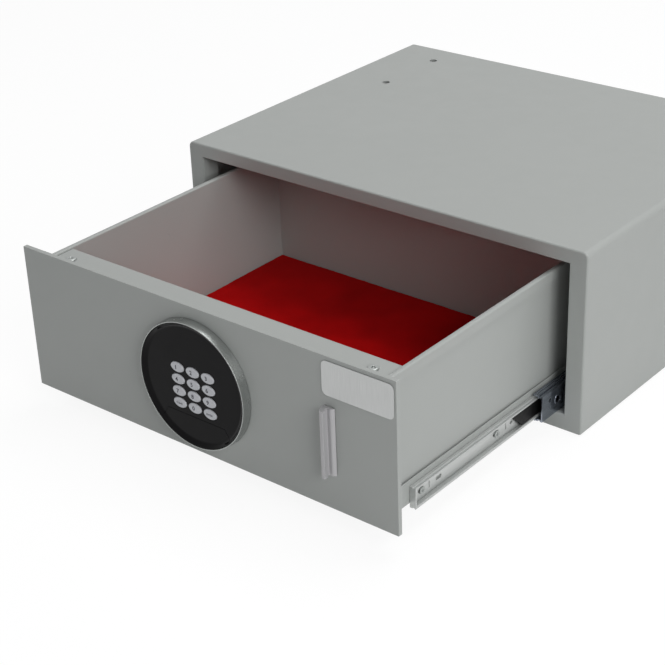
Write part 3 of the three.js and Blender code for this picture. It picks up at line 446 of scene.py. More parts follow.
def folded_sheet(name, path, along, start, end, thickness, bend, segments=3):
    """Sheet metal folded along a path in millimetres, its material on the left of the path.
    The first strip is a plane, and each further strip is extruded from its edge."""
    def point(pair, place):
        a, b = (value * mm for value in pair)
        return {"x": (place, a, b), "y": (a, place, b), "z": (a, b, place)}[along]

    deselect()
    bpy.ops.mesh.primitive_plane_add(size=1)
    piece = bpy.context.object
    piece.name = name
    ends = ((path[0], start), (path[0], end), (path[1], end), (path[1], start))
    corners = [point(*spot) for spot in ends]
    for index, corner in zip(piece.data.polygons[0].vertices, corners):
        piece.data.vertices[index].co = corner
    tip = [Vector(point(path[1], place)) for place in (start, end)]
    choose_edges(piece, lambda a, b: all(
        min((p - t).length for t in tip) < 0.001 * mm for p in (a, b)))
    for before, after in zip(path[1:], path[2:]):
        step = Vector(point(after, 0)) - Vector(point(before, 0))
        bpy.ops.mesh.extrude_edges_move(TRANSFORM_OT_translate={"value": step})
    run = Vector(point(path[1], 0)) - Vector(point(path[0], 0))
    across = {"x": Vector((1, 0, 0)), "y": Vector((0, -1, 0)), "z": Vector((0, 0, 1))}[along]
    left = across.cross(run)
    mesh = bmesh.from_edit_mesh(piece.data)
    mesh.normal_update()
    mesh.faces.ensure_lookup_table()
    first_middle = (Vector(corners[0]) + Vector(corners[2])) / 2
    first = min(mesh.faces, key=lambda face: (face.calc_center_median() - first_middle).length)
    if first.normal.dot(left) > 0:
        bpy.ops.mesh.select_all(action="SELECT")
        bpy.ops.mesh.flip_normals()
    leave_edit()
    if bend:
        folds = [Vector(point(pair, start)) for pair in path[1:-1]]
        axis = "xyz".index(along)
        round_edges(piece, lambda a, b: abs(a[axis] - b[axis]) > 1 * mm and any(
            abs((a - fold).length - abs(a[axis] - fold[axis])) < 0.002 * mm for fold in folds),
            bend, segments)
    finish_with(piece, "SOLIDIFY", thickness=thickness, offset=-1, use_even_offset=True)
    return piece


tray_sheet = 1.2 * mm
tray_top, tray_floor, bead_floor = 130.2, 26.0, 23.0
wall_in, wall_out, skin_out, hem_out = 163.0, 164.2, 166.0, 167.5
drawer_y = panel_low.y / mm
panel_back = drawer_y + 4.3
back_in = drawer_y + 279
hem_low, hem_back = tray_top - 8, back_in + 4.5
tray_bend = 1.35 * mm
drawer_open = 207 * mm
bolt_bore, bolt_spots = 4.7 * mm, [(x, bolt_y - drawer_open) for x in (-bolt_x, bolt_x)]
right_half = [(hem_out, hem_low), (hem_out, tray_top), (wall_in, tray_top), (wall_in, tray_floor),
              (95, tray_floor), (90, bead_floor), (70, bead_floor), (65, tray_floor)]
section = right_half + [(-x, z) for x, z in reversed(right_half)]
tray_sides = folded_sheet("tray_sides", section, "y", panel_back * mm, back_in * mm, tray_sheet,
                          tray_bend)
hem = [(hem_back, hem_low), (hem_back, tray_top), (back_in, tray_top)]
tray_back = folded_sheet("tray_back", hem + [(back_in, tray_floor - 1.2)], "x", -wall_out * mm,
                         wall_out * mm, tray_sheet, tray_bend)
hem_corners = [folded_sheet("hem_corner", hem, "x", low * mm, high * mm, tray_sheet, tray_bend)
               for low, high in ((-hem_out, -wall_out), (wall_out, hem_out))]
cut_out(tray_sides, [rod("drill", "z", bolt_bore, 20 * mm, 30 * mm, spot, 32)
                     for spot in bolt_spots])
lug_top, lug_out, lug_in = 127.1, 163.2, 140.5
screw_x, screw_y = 148.5 * mm, (drawer_y + 18.5) * mm
lugs = []
for sign in (-1, 1):
    path = [(sign * lug_out, lug_top - 15), (sign * lug_out, lug_top), (sign * lug_in, lug_top)]
    lug = folded_sheet("lug", path if sign > 0 else path[::-1], "y", (drawer_y + 9.5) * mm,
                       (drawer_y + 27.5) * mm, 1.5 * mm, 0)
    cut_out(lug, [rod("drill", "z", bore, 120 * mm, 132 * mm, (sign * screw_x, screw_y), 24)])
    lugs.append(lug)


def dent(x, y, z, sign):
    """The shallow mark of a spot weld's electrode, on a wall that faces along X."""
    deselect()
    bpy.ops.mesh.primitive_uv_sphere_add(radius=10 * mm, segments=40, ring_count=20,
                                         location=(x + sign * 9.78 * mm, y, z),
                                         rotation=(0, math.pi / 2, 0))
    return added("electrode")


weld_pitch = 84
wall_welds, wall_weld_z = (-229, -229 + weld_pitch), 100.5 * mm
cut_out(tray_sides, [dent(-sign * wall_in * mm, y * mm, wall_weld_z, sign)
                     for sign in (-1, 1) for y in wall_welds])
tray_walls = joined("tray_walls", [tray_sides, tray_back, *hem_corners, *lugs])
shade(tray_walls)
fit_on(tray_walls, body_paint, "drawer", "body_paint", "tray_body")

skin_back = back_in + 3.0
skin = folded_sheet("tray_skin", [(skin_out, panel_back), (skin_out, skin_back),
                                  (-skin_out, skin_back), (-skin_out, panel_back)],
                    "z", 21.8 * mm, 128.7 * mm, tray_sheet, 1.6 * mm)
skin_welds, skin_weld_z = (-261, -261 + weld_pitch), 115.5 * mm
cut_out(skin, [dent(sign * skin_out * mm, y * mm, skin_weld_z, sign)
               for sign in (-1, 1) for y in skin_welds])
screw_places = [(drawer_y + 43.2) * mm, (drawer_y + 136.4) * mm]
cut_out(skin, [rod("drill", "x", bore, sign * 163 * mm, sign * 168 * mm, (y, slide_mid_z), 24)
               for sign in (-1, 1) for y in screw_places])
break_edges(skin, 0.15 * mm, 1, 60)
shade(skin)
fit_on(skin, body_paint, "drawer", "body_paint", "tray_outer_skin")

pan_out, pan_low, pan_high = 167.8, 20.0, 40.0
pan_sheet, flange_lean = 1.5 * mm, 0.9 * mm
pan = folded_sheet("tray_pan", [(-pan_out, pan_high), (-pan_out, pan_low),
                                (pan_out, pan_low), (pan_out, pan_high)],
                   "y", panel_back * mm, skin_back * mm, pan_sheet, 1.9 * mm, 4)
cut_out(pan, [rod("drill", "x", bore, sign * 165 * mm, sign * 169 * mm, (y, slide_mid_z), 24)
              for sign in (-1, 1) for y in screw_places]
        + [rod("drill", "z", bolt_bore, 18 * mm, 23 * mm, spot, 32) for spot in bolt_spots])
for vertex in pan.data.vertices:
    if vertex.co.z > (pan_high - 0.1) * mm and abs(vertex.co.x) < (pan_out - 1) * mm:
        vertex.co.x += math.copysign(flange_lean, vertex.co.x)
break_edges(pan, 0.15 * mm, 2, 60)
shade(pan)
fit_on(pan, powder_coat("pan_powder_coat"), "drawer", "body_paint", "base_pan")

# --- Floor lining ---------------------------------------------------------------------------------
# Deep red needle felt, cut to the tray's inside with a knife and laid loose on its floor.
# Its edges are a little fuzzy and uneven where they meet the walls.
lining_low, lining_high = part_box("floor_lining")
felt_thickness, felt_play = 2.8 * mm, 0.6 * mm
felt_middle = (lining_low + lining_high) / 2
felt_size = (lining_high.x - lining_low.x - felt_play, lining_high.y - lining_low.y - felt_play)
felt_half = Vector(felt_size) / 2
deselect()
bpy.ops.mesh.primitive_grid_add(x_subdivisions=150, y_subdivisions=112, size=1, location=(
    felt_middle.x, felt_middle.y, lining_low.z + felt_thickness))
bpy.context.object.scale = (*felt_size, 1)
felt = added("felt_lining")
tuft_height, swell_height, nibble_fine, nibble_wide = 0.12 * mm, 0.28 * mm, 0.55 * mm, 0.5 * mm
for vertex in felt.data.vertices:
    away = Vector((vertex.co.x - felt_middle.x, vertex.co.y - felt_middle.y))
    side_edge = abs(away.x) / felt_half.x > 0.9999
    end_edge = abs(away.y) / felt_half.y > 0.9999
    tuft = noise.noise(vertex.co * 420)
    swell = noise.noise(vertex.co * 34)
    vertex.co.z += tuft_height * tuft + swell_height * swell
    nibble = (nibble_fine * abs(noise.noise(vertex.co * 260))
              + nibble_wide * abs(noise.noise(vertex.co * 60)))
    vertex.co.x -= math.copysign(nibble, away.x) if side_edge else 0
    vertex.co.y -= math.copysign(nibble, away.y) if end_edge else 0
finish_with(felt, "SOLIDIFY", thickness=felt_thickness - felt_play, offset=-1)
only(felt)
bpy.ops.object.shade_smooth_by_angle(angle=math.radians(50))


def needle_felt(name):
    """Deep red felt: matted short fibres, with a soft sheen at low angles."""
    finish = Finish(name, roughness=0.95, specular=0.05)
    fibres = finish.grain(1400, 3, rough=0.7)
    clouds = finish.grain(26, 3)
    mixed = finish.node("Math")
    mixed.operation = "MULTIPLY_ADD"
    mixed.inputs[1].default_value = 0.55
    finish.link(fibres, mixed.inputs[0])
    scaled = finish.range(clouds, 0.12, 0.36)
    finish.link(scaled, mixed.inputs[2])
    deep, bright = (0.38, 0.0008, 0.0014), (0.58, 0.002, 0.003)
    finish.colour(mixed.outputs[0], deep, bright, 0.35, 0.68)
    finish.relief(fibres, 0.35 * mm, strength=0.7)
    finish.shader.inputs["Sheen Weight"].default_value = 0.05
    finish.shader.inputs["Sheen Roughness"].default_value = 0.5
    finish.shader.inputs["Sheen Tint"].default_value = (0.9, 0.25, 0.25, 1)
    return finish.material


fit_on(felt, needle_felt("red_needle_felt"), "drawer", "red_felt", "floor_lining")

# --- Lock cover and its screws --------------------------------------------------------------------
# A folded sheet behind the panel makes a ledge over the lock and a wall behind it, light grey.
# Two cross-recessed screws in zinc plate hold it to lugs on the tray's walls.
ledge_top, ledge_back, cover_half = 128.6, drawer_y + 34.2, 162.5 * mm
cover = folded_sheet("cover_ledge", [(ledge_back, 26.3), (ledge_back, ledge_top),
                                     (panel_back, ledge_top)],
                     "x", -cover_half, cover_half, tray_sheet, 1.7 * mm, 4)
cut_out(cover, [rod("drill", "z", bore, 125 * mm, 131 * mm, (x, screw_y), 24)
                for x in (-screw_x, screw_x)])
break_edges(cover, 0.15 * mm, 1, 60)
shade(cover)
fit_on(cover, body_paint, "drawer", "body_paint", "lock_cover")


def bright_zinc(name):
    """Bright zinc plate on screws: light, slightly yellowed, with fine turning marks."""
    finish = Finish(name, roughness=0.25, metallic=0.85)
    finish.colour(finish.grain(180, 3), (0.55, 0.56, 0.56), (0.68, 0.68, 0.66))
    finish.roughness(finish.grain(420, 2), 0.2, 0.34)
    return finish.material


def copied(piece, name):
    """A copy of a piece with its own mesh."""
    twin = piece.copy()
    twin.data = piece.data.copy()
    twin.name = name
    bpy.context.scene.collection.objects.link(twin)
    return twin


screw_zinc = bright_zinc("screw_bright_zinc")
dull_zinc = zinc_plate("screw_dull_zinc", (0.42, 0.44, 0.43), (0.36, 0.38, 0.37), 0.3, 0.6)
head_low, head_high, shank_low = 128.9 * mm, 130.2 * mm, 120.9 * mm
head_radius, shank_radius = 4.2 * mm, 1.5 * mm
cross_reach, cross_width, cross_depth = 2.7 * mm, 0.7 * mm, 1.05 * mm
first_screw = rod("cross_screw", "z", head_radius, head_low, head_high, (screw_x, screw_y), 56)
round_edges(first_screw, lambda a, b: min(a.z, b.z) > head_high - 0.01 * mm, 0.95 * mm, 6)
shank = rod("shank", "z", shank_radius, shank_low, head_low + 0.2 * mm, (screw_x, screw_y), 24)
round_edges(shank, lambda a, b: max(a.z, b.z) < shank_low + 0.1 * mm, 0.5 * mm, 2)
arms = []
for reach, width in ((cross_reach, cross_width), (cross_width, cross_reach)):
    arm = block("arm", (screw_x - reach, screw_y - width, head_high - cross_depth),
                (screw_x + reach, screw_y + width, head_high + 1 * mm))
    choose_faces(arm, lambda middle, normal: normal.z < -0.9)
    bpy.ops.transform.resize(value=(0.6, 0.6, 1), center_override=(screw_x, screw_y, head_high))
    leave_edit()
    arms.append(arm)
finish_with(arms[0], "BOOLEAN", operation="UNION", solver="EXACT", object=arms[1])
bpy.data.objects.remove(arms[1])
cut_out(first_screw, [arms[0]])
first_screw = joined("cross_screw_right", [first_screw, shank])
break_edges(first_screw, 0.08 * mm, 1, 50)
shade(first_screw, 40)
second_screw = copied(first_screw, "cross_screw_left")
choose_faces(second_screw, every_face)
bpy.ops.transform.rotate(value=math.radians(25), orient_axis="Z",
                         center_override=(screw_x, screw_y, head_low))
bpy.ops.transform.translate(value=(-2 * screw_x, 0, 0))
leave_edit()
for screw, side in ((first_screw, "right"), (second_screw, "left")):
    fit_on(screw, dull_zinc, "drawer", "zinc", f"cover_screw_{side}")

# --- Slides, drawer members -----------------------------------------------------------------------
# Rolled channels like the others, screwed to the tray's sides, with stamped slots in the web.
# A folded tab closes the front end, and a black lever on the web lets the drawer be taken out.
runner_face = 168.1 * mm
slots = ((43.2, 7.4, 3.0), (63.8, 7.0, 3.2), (136.4, 7.4, 3.0), (156.6, 4.0, 2.4), (206, 6.5, 3.2),
         (262, 6.5, 3.2))
tick_places, tick_half = (52.4, 149.2), 0.4
punch_in, punch_out = 1 * mm, 2.4 * mm
runner_zinc = zinc_plate("runner_zinc_plate", (0.58, 0.595, 0.585), (0.49, 0.505, 0.495), 0.38, 0.5)
for side, sign in (("left", -1), ("right", 1)):
    runner = from_frame(f"drawer_runner_{side}", f"drawer_slide_{side}")
    punch_start, punch_end = sign * (runner_face - punch_in), sign * (runner_face + punch_out)
    punches = []
    for place, length, height in slots:
        y = drawer_y + place
        z = slide_mid_z / mm + 0.2
        slot = block("slot", (punch_start, (y - length / 2) * mm, (z - height / 2) * mm),
                     (punch_end, (y + length / 2) * mm, (z + height / 2) * mm))
        round_edges(slot, lambda a, b: abs(a.x - b.x) > 1 * mm, height / 2.1 * mm, 5)
        punches.append(slot)
    for place in tick_places:
        y = drawer_y + place
        punches.append(block("tick", (punch_start, (y - tick_half) * mm, slide_mid_z - 2.6 * mm),
                             (punch_end, (y + tick_half) * mm, slide_mid_z + 3.2 * mm)))
    cut_out(runner, punches)
    break_edges(runner, 0.2 * mm, 2, 35)
    shade(runner)
    fit_on(runner, runner_zinc, "drawer", "zinc", f"drawer_slide_{side}")
    lever = from_frame(f"lever_{side}", f"release_lever_{side}")
    break_edges(lever, 0.5 * mm, 3, 35)
    shade(lever)
    lever_black = moulded_black(f"lever_black_{side}", 0.42)
    fit_on(lever, lever_black, "drawer", "black_plastic", f"release_lever_{side}")
    for number in (1, 2):
        screw = from_frame(f"slide_cross_screw_{side}_{number}", f"slide_screw_{side}_{number}")
        low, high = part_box(f"slide_screw_{side}_{number}")
        y, z = (low.y + high.y) / 2, (low.z + high.z) / 2
        face = max(abs(low.x), abs(high.x))
        for reach, width in ((1.7 * mm, 0.4 * mm), (0.4 * mm, 1.7 * mm)):
            cut_out(screw, [block("arm", (sign * (face - 0.6 * mm), y - reach, z - width),
                                  (sign * (face + 1 * mm), y + reach, z + width))])
        break_edges(screw, 0.12 * mm, 2, 50)
        shade(screw, 40)
        fit_on(screw, dull_zinc, "drawer", "zinc", f"slide_screw_{side}_{number}")

# --- Keypad ---------------------------------------------------------------------------------------
# A turned satin-plated ring, screwed on from behind, holds a gloss black moulded dish to the panel.
# Twelve silver-grey keys stand in its windows, over a rubber mat and a small circuit board.
ring_radius, ring_front, ring_inside = 52 * mm, 51.3 * mm, 50.7 * mm
ring_out = 8.0


def on_panel(out):
    """The Y of a place a number of millimetres out from the panel's face."""
    return panel_face - out * mm


def turned_marks(name):
    """Satin chrome on a turned ring: fine rings round its middle."""
    roughness = 0.24
    finish = Finish(name, roughness=roughness, metallic=0.85)
    away = finish.node("VectorMath")
    away.operation = "LENGTH"
    finish.link(finish.stretched((1, 0, 1), (keypad_x, 0, keypad_z)), away.inputs[0])
    wave = finish.node("TexNoise")
    wave.noise_dimensions = "1D"
    wave.inputs["Scale"].default_value = 2600
    finish.link(away.outputs["Value"], wave.inputs["W"])
    finish.colour(wave.outputs["Fac"], (0.36, 0.375, 0.365), (0.40, 0.415, 0.405))
    finish.roughness(finish.grain(90, 3), roughness - 0.03, roughness + 0.05)
    return finish.material


keypad_middle = (keypad_x, keypad_z)
ring = rod("keypad_ring", "y", ring_radius, on_panel(ring_out), on_panel(0.3), keypad_middle, 160)
choose_faces(ring, lambda middle, normal: normal.y < -0.9)
bpy.ops.transform.resize(value=(ring_front / ring_radius, 1, ring_front / ring_radius),
                         center_override=(keypad_x, 0, keypad_z))
bpy.ops.mesh.inset(thickness=ring_front - ring_inside)
bpy.ops.mesh.extrude_region_move(TRANSFORM_OT_translate={"value": (0, 6.2 * mm, 0)})
bpy.ops.mesh.inset(thickness=7.7 * mm)
bpy.ops.mesh.delete(type="FACE")
choose_faces(ring, lambda middle, normal: normal.y > 0.9)
bpy.ops.mesh.inset(thickness=9.0 * mm)
bpy.ops.mesh.delete(type="FACE")
only(ring)
bpy.ops.object.mode_set(mode="EDIT")
bpy.ops.mesh.select_mode(type="EDGE")
bpy.ops.mesh.select_all(action="DESELECT")
bpy.ops.mesh.select_non_manifold(extend=False)
bpy.ops.mesh.bridge_edge_loops()
leave_edit()


def circle_at(out, radius=None):
    """A rule for edges at a height out from the panel, and round the keypad at a radius."""
    def meets(point):
        away = Vector((point.x - keypad_x, point.z - keypad_z)).length
        return abs(point.y - on_panel(out)) < 0.01 * mm and (
            radius is None or abs(away - radius) < 0.08 * mm)

    return lambda a, b: meets(a) and meets(b)


round_edges(ring, circle_at(ring_out, ring_front), 0.2 * mm, 3)
round_edges(ring, circle_at(ring_out, ring_inside), 0.1 * mm, 2)
shade(ring, 40)
fit_on(ring, turned_marks("ring_satin_chrome"), "drawer", "satin_chrome", "keypad_bezel")

dish_radius, dish_edge, dish_slope = 50.4 * mm, 0.6 * mm, 2.4 * mm
dish_rim, dish_face = 7.7, 5.0
dish = rod("keypad_dish", "y", dish_radius, on_panel(dish_rim), on_panel(2.1), keypad_middle, 160)
choose_faces(dish, lambda middle, normal: normal.y < -0.9)
bpy.ops.mesh.inset(thickness=dish_edge)
bpy.ops.mesh.inset(thickness=dish_slope)
bpy.ops.transform.translate(value=(0, (dish_rim - dish_face) * mm, 0))
choose_faces(dish, lambda middle, normal: normal.y > 0.9)
bpy.ops.mesh.inset(thickness=4.1 * mm)
bpy.ops.mesh.extrude_region_move(TRANSFORM_OT_translate={"value": (0, -1.8 * mm, 0)})
leave_edit()
round_edges(dish, circle_at(dish_face, dish_radius - dish_edge - dish_slope), 1.3 * mm, 5)
round_edges(dish, circle_at(dish_rim, dish_radius - dish_edge), 0.35 * mm, 2)
key_width, key_height = 12.8 * mm, 8.2 * mm
key_pitch_x, key_pitch_z = 15.1 * mm, 10 * mm
keys_middle_z = keypad_z - 4.4 * mm
key_places = [(keypad_x + (column - 1) * key_pitch_x, keys_middle_z + (1.5 - row) * key_pitch_z)
              for row in range(4) for column in range(3)]
windows = []
for key_x, key_z in key_places:
    window = rod("window", "y", 1 * mm, on_panel(9), on_panel(3), (key_x, key_z), 56)
    choose_faces(window, every_face)
    bpy.ops.transform.resize(value=(key_width / 2 / mm + 0.3, 1, key_height / 2 / mm + 0.3),
                             center_override=(key_x, on_panel(5), key_z))
    leave_edit()
    windows.append(window)
cut_out(dish, windows)
# the seam of the battery door under the keys, straight with its ends turned down
seam_z, seam_left, seam_right, half_seam = 48.9 * mm, -29.5 * mm, 27.5 * mm, 0.2 * mm
seam_over, seam_bottom = on_panel(dish_face + 1), on_panel(dish_face - 0.3)
seam = [block("seam", (seam_left, seam_over, seam_z - half_seam),
              (seam_right, seam_bottom, seam_z + half_seam))]
for end, sign in ((seam_left, -1), (seam_right, 1)):
    corner = block("seam_end", (end - half_seam, seam_over, seam_z - 8.5 * mm),
                   (end + half_seam, seam_bottom, seam_z + 0.1 * mm))
    choose_faces(corner, every_face)
    bpy.ops.transform.rotate(value=math.radians(32 * sign), orient_axis="Y",
                             center_override=(end, 0, seam_z))
    leave_edit()
    seam.append(corner)
for groove in seam:
    cut_out(dish, [groove])
shade(dish, 35)


def gloss_black(name):
    """Gloss black moulding, clear and deep, with faint wiping marks."""
    finish = Finish(name, roughness=0.12, specular=0.07)
    deep, bloom = (0.0065, 0.0062, 0.0068), (0.0095, 0.009, 0.0098)
    finish.colour(finish.grain(45, 3), deep, bloom)
    finish.roughness(finish.grain(24, 4, finish.stretched((3, 1, 0.6))), 0.06, 0.16)
    finish.relief(finish.grain(60, 1), 0.02 * mm, strength=0.15)
    return finish.material


fit_on(dish, gloss_black("dish_gloss_black"), "drawer", "gloss_black", "keypad_face")


def key_coating(name):
    """Silver-grey lacquer on a key, matt and slightly metallic."""
    finish = Finish(name, roughness=0.45, metallic=0.15, specular=0.4)
    finish.colour(finish.grain(260, 3), (0.56, 0.57, 0.60), (0.62, 0.63, 0.66))
    finish.roughness(finish.grain(120, 2), 0.4, 0.52)
    finish.relief(finish.grain(2400, 2), 0.02 * mm, strength=0.25)
    return finish.material


def legend_ink(name):
    """Dark blue-grey pad-printed ink, a little worn."""
    finish = Finish(name, roughness=0.6, specular=0.3)
    full, worn = (0.012, 0.014, 0.026), (0.025, 0.028, 0.045)
    finish.colour(finish.grain(900, 3), full, worn)
    return finish.material


key_lacquer, ink = key_coating("key_silver_lacquer"), legend_ink("key_legend_ink")
key_top, key_shoulder, key_foot = 5.7, 3.6, 3.0
first_x, first_z = key_places[0]
key_middle = (first_x, 0, first_z)
pattern_key = rod("key_pattern", "y", 1 * mm, on_panel(key_shoulder), on_panel(key_foot),
                  key_places[0], 56)
choose_faces(pattern_key, every_face)
bpy.ops.transform.resize(value=(key_width / 2 / mm + 0.9, 1, key_height / 2 / mm + 0.6),
                         center_override=key_middle)
choose_faces(pattern_key, lambda middle, normal: normal.y < -0.9)
bpy.ops.mesh.inset(thickness=0.3 * mm)
bpy.ops.transform.resize(value=(key_width / (key_width + 1.2 * mm), 1,
                                key_height / (key_height + 0.6 * mm)), center_override=key_middle)
bpy.ops.mesh.extrude_region_move(TRANSFORM_OT_translate={
    "value": (0, on_panel(key_top) - on_panel(key_shoulder), 0)})
leave_edit()
round_edges(pattern_key, circle_at(key_top), 0.55 * mm, 4)
shade(pattern_key, 60)
legends = ["1", "2", "3", "4", "5", "6", "7", "8", "9", "CLEAR", "0", "ENTER"]
for number, ((key_x, key_z), legend) in enumerate(zip(key_places, legends), start=1):
    button = copied(pattern_key, f"button_{number}")
    choose_faces(button, every_face)
    bpy.ops.transform.translate(value=(key_x - first_x, 0, key_z - first_z))
    leave_edit()
    fit_on(button, key_lacquer, f"key_button_{number}", "key_silver", f"key_{number}")
    is_digit = len(legend) == 1
    deselect()
    bpy.ops.object.text_add(location=(key_x - (1.3 * mm if is_digit else 0.4 * mm),
                                      on_panel(key_top + 0.015), key_z - 0.5 * mm),
                            rotation=(math.pi / 2, 0, 0))
    mark = bpy.context.object
    mark.name = f"legend_{number}"
    mark.data.body = legend
    mark.data.size = 4.7 * mm if is_digit else 2.1 * mm
    mark.data.offset = 0.1 * mm if is_digit else 0.03 * mm
    mark.data.align_x = "CENTER"
    mark.data.align_y = "CENTER"
    mark.data.extrude = 0.02 * mm
    bpy.ops.object.convert(target="MESH")
    bpy.ops.object.transform_apply(location=True, rotation=True, scale=True)
    dress(mark, ink)
    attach(mark, f"key_button_{number}")
bpy.data.objects.remove(pattern_key)


def grey_rubber(name):
    """Dull grey silicone rubber with a dusty bloom."""
    finish = Finish(name, roughness=0.8, specular=0.25)
    finish.colour(finish.grain(150, 4), (0.075, 0.08, 0.085), (0.12, 0.125, 0.13))
    finish.relief(finish.grain(1200, 2), 0.05 * mm, strength=0.4)
    return finish.material


def circuit_board(name, middle):
    """Green solder mask over copper tracks, with tinned pads."""
    finish = Finish(name, roughness=0.4, specular=0.5)
    grid = finish.stretched((190, 190, 190), middle)
    tracks = finish.node("TexVoronoi", Scale=1)
    tracks.distance = "MANHATTAN"
    tracks.feature = "F1"
    finish.link(grid, tracks.inputs["Vector"])
    tin, mask = (0.35, 0.35, 0.33), (0.012, 0.085, 0.035)
    finish.colour(tracks.outputs["Distance"], tin, mask, 0.1, 0.16)
    finish.relief(tracks.outputs["Distance"], 0.05 * mm, strength=0.3)
    return finish.material


dress(nodes["key_mat"], grey_rubber("mat_grey_rubber"))
dress(nodes["keypad_board"], circuit_board("keypad_board_green", (keypad_x, panel_face, keypad_z)))
for number in (1, 2):
    dress(nodes[f"keypad_screw_{number}"], screw_zinc)
    dress(nodes[f"handle_screw_{number}"], screw_zinc)

# --- Pull handle ----------------------------------------------------------------------------------
# A short length of extruded aluminium, satin anodised, its ends sawn and broken.
# A cove for the finger opens to the right under an overhanging lip; two screws hold it from behind.
handle_low, handle_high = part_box("pull_handle")
pull_left = handle_low.x / mm


def curve(start, bend, end, steps=8):
    """Points on a quadratic curve after its start."""
    shares = [step / steps for step in range(1, steps + 1)]
    return [tuple(a * (1 - t) ** 2 + 2 * b * t * (1 - t) + c * t * t
                  for a, b, c in zip(start, bend, end)) for t in shares]


outline_points = [(0, 0.3), (9.7, 0.3), (9.7, 0.8)]
outline_points += curve((9.7, 0.8), (8.2, 2.8), (6.4, 2.8))
outline_points += curve((5.1, 2.8), (4.4, 2.8), (4.4, 3.5), 4)
outline_points += curve((4.4, 5.1), (4.4, 5.8), (5.1, 5.8), 4)
outline_points += [(5.7, 5.8), (5.7, 8.9)]
outline_points += curve((5.7, 8.9), (5.7, 9.18), (5.4, 9.18), 4)
outline_points += [(3.2, 9.18)]
outline_points += curve((3.2, 9.18), (2.9, 9.18), (2.7, 8.88), 3)
outline_points += [(0.1, 4.7), (0, 4.4)]
deselect()
bpy.ops.mesh.primitive_circle_add(vertices=len(outline_points), radius=1 * mm,
                                  fill_type="NGON")
pull = bpy.context.object
pull.name = "finger_pull"
for vertex, (across, out) in zip(pull.data.vertices, outline_points):
    vertex.co = ((pull_left + across) * mm, on_panel(out), handle_low.z)
choose_faces(pull, every_face)
bpy.ops.mesh.extrude_region_move(TRANSFORM_OT_translate={
    "value": (0, 0, handle_high.z - handle_low.z)})
bpy.ops.mesh.select_all(action="SELECT")
bpy.ops.mesh.normals_make_consistent(inside=False)
leave_edit()
handle_bores = []
for node in ("handle_screw_1", "handle_screw_2"):
    low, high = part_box(node)
    spot = ((low.x + high.x) / 2, (low.z + high.z) / 2)
    handle_bores.append(rod("drill", "y", bore, on_panel(4.1), on_panel(-1), spot, 24))
cut_out(pull, handle_bores)
break_edges(pull, 0.22 * mm, 2, 50)
shade(pull, 32)


def satin_anodised(name):
    """Satin anodised aluminium: soft, light, with faint drawing lines up the profile."""
    finish = Finish(name, roughness=0.42, metallic=0.2)
    drawn = finish.stretched((900, 900, 14))
    dull, light = (0.44, 0.435, 0.445), (0.50, 0.495, 0.505)
    finish.colour(finish.grain(1, 3, drawn), dull, light)
    finish.roughness(finish.grain(70, 2), 0.34, 0.46)
    finish.relief(finish.grain(1.4, 2, drawn), 0.015 * mm, strength=0.25)
    return finish.material


fit_on(pull, satin_anodised("pull_satin_anodised"), "drawer", "satin_aluminium", "pull_handle")

# --- Name plate -----------------------------------------------------------------------------------
# A thin aluminium plate with round corners, stuck on under the panel's top right corner.
# It is left bare, with a fine vertical brushing and a clear lacquer.
plate_low, plate_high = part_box("name_plate")
plate = block("bare_plate", plate_low, plate_high)
round_edges(plate, lambda a, b: abs(a.y - b.y) > 0.2 * mm, 4.5 * mm, 10)
break_edges(plate, 0.14 * mm, 2, 50)
shade(plate, 40)


def brushed_plate(name):
    """Aluminium brushed upright, under clear lacquer."""
    finish = Finish(name, roughness=0.36, metallic=0.45)
    brushed = finish.stretched((2600, 900, 60))
    dull, light = (0.54, 0.55, 0.545), (0.62, 0.63, 0.625)
    finish.colour(finish.grain(1, 3, brushed), dull, light)
    finish.roughness(finish.grain(55, 3), 0.32, 0.42)
    finish.relief(finish.grain(1.3, 2, brushed), 0.01 * mm, strength=0.2)
    return finish.material


fit_on(plate, brushed_plate("plate_brushed_aluminium"), "drawer", "satin_aluminium", "name_plate")

# --- Lock -----------------------------------------------------------------------------------------
# Two steel bolts riveted into a bar, which a rack and a motor-driven pinion lower into the frame.
# They run in guides on a zinc-plated chassis, beside the control board and the battery holder.


def drawn_steel(name, long_axis=(300, 300, 12)):
    """Bright drawn steel: fine lines along the bar and a thin film of oil."""
    finish = Finish(name, roughness=0.3, metallic=0.95)
    lines = finish.grain(1, 4, finish.stretched(long_axis))
    finish.colour(lines, (0.40, 0.40, 0.41), (0.52, 0.52, 0.53))
    finish.roughness(finish.grain(45, 3), 0.22, 0.38)
    return finish.material


bolt_steel = drawn_steel("bolt_drawn_steel")
for side in ("left", "right"):
    low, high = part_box(f"locking_bolt_{side}")
    middle = ((low.x + high.x) / 2, (low.y + high.y) / 2)
    shoulder, rivet = 63.7 * mm, high.z - 1.6 * mm
    bolt = rod(f"bolt_pin_{side}", "z", 4 * mm, low.z, shoulder, middle, 48)
    choose_faces(bolt, lambda face, normal: normal.z > 0.9)
    bpy.ops.mesh.inset(thickness=1.5 * mm)
    bpy.ops.mesh.extrude_region_move(TRANSFORM_OT_translate={"value": (0, 0, rivet - shoulder)})
    bpy.ops.mesh.extrude_region_move(TRANSFORM_OT_translate={"value": (0, 0, high.z - rivet)})
    leave_edit()
    head = rod("rivet_head", "z", 3.7 * mm, rivet, high.z, middle, 48)
    round_edges(head, lambda a, b: min(a.z, b.z) > high.z - 0.01 * mm, 0.9 * mm, 4)
    round_edges(bolt, lambda a, b: max(a.z, b.z) < low.z + 0.01 * mm, 1.1 * mm, 3)
    bolt = joined(f"bolt_pin_{side}", [bolt, head])
    shade(bolt, 40)
    fit_on(bolt, bolt_steel, "bolt_work", "steel", f"locking_bolt_{side}")
dress(nodes["bolt_bar"], drawn_steel("bar_drawn_steel", (12, 300, 300)))
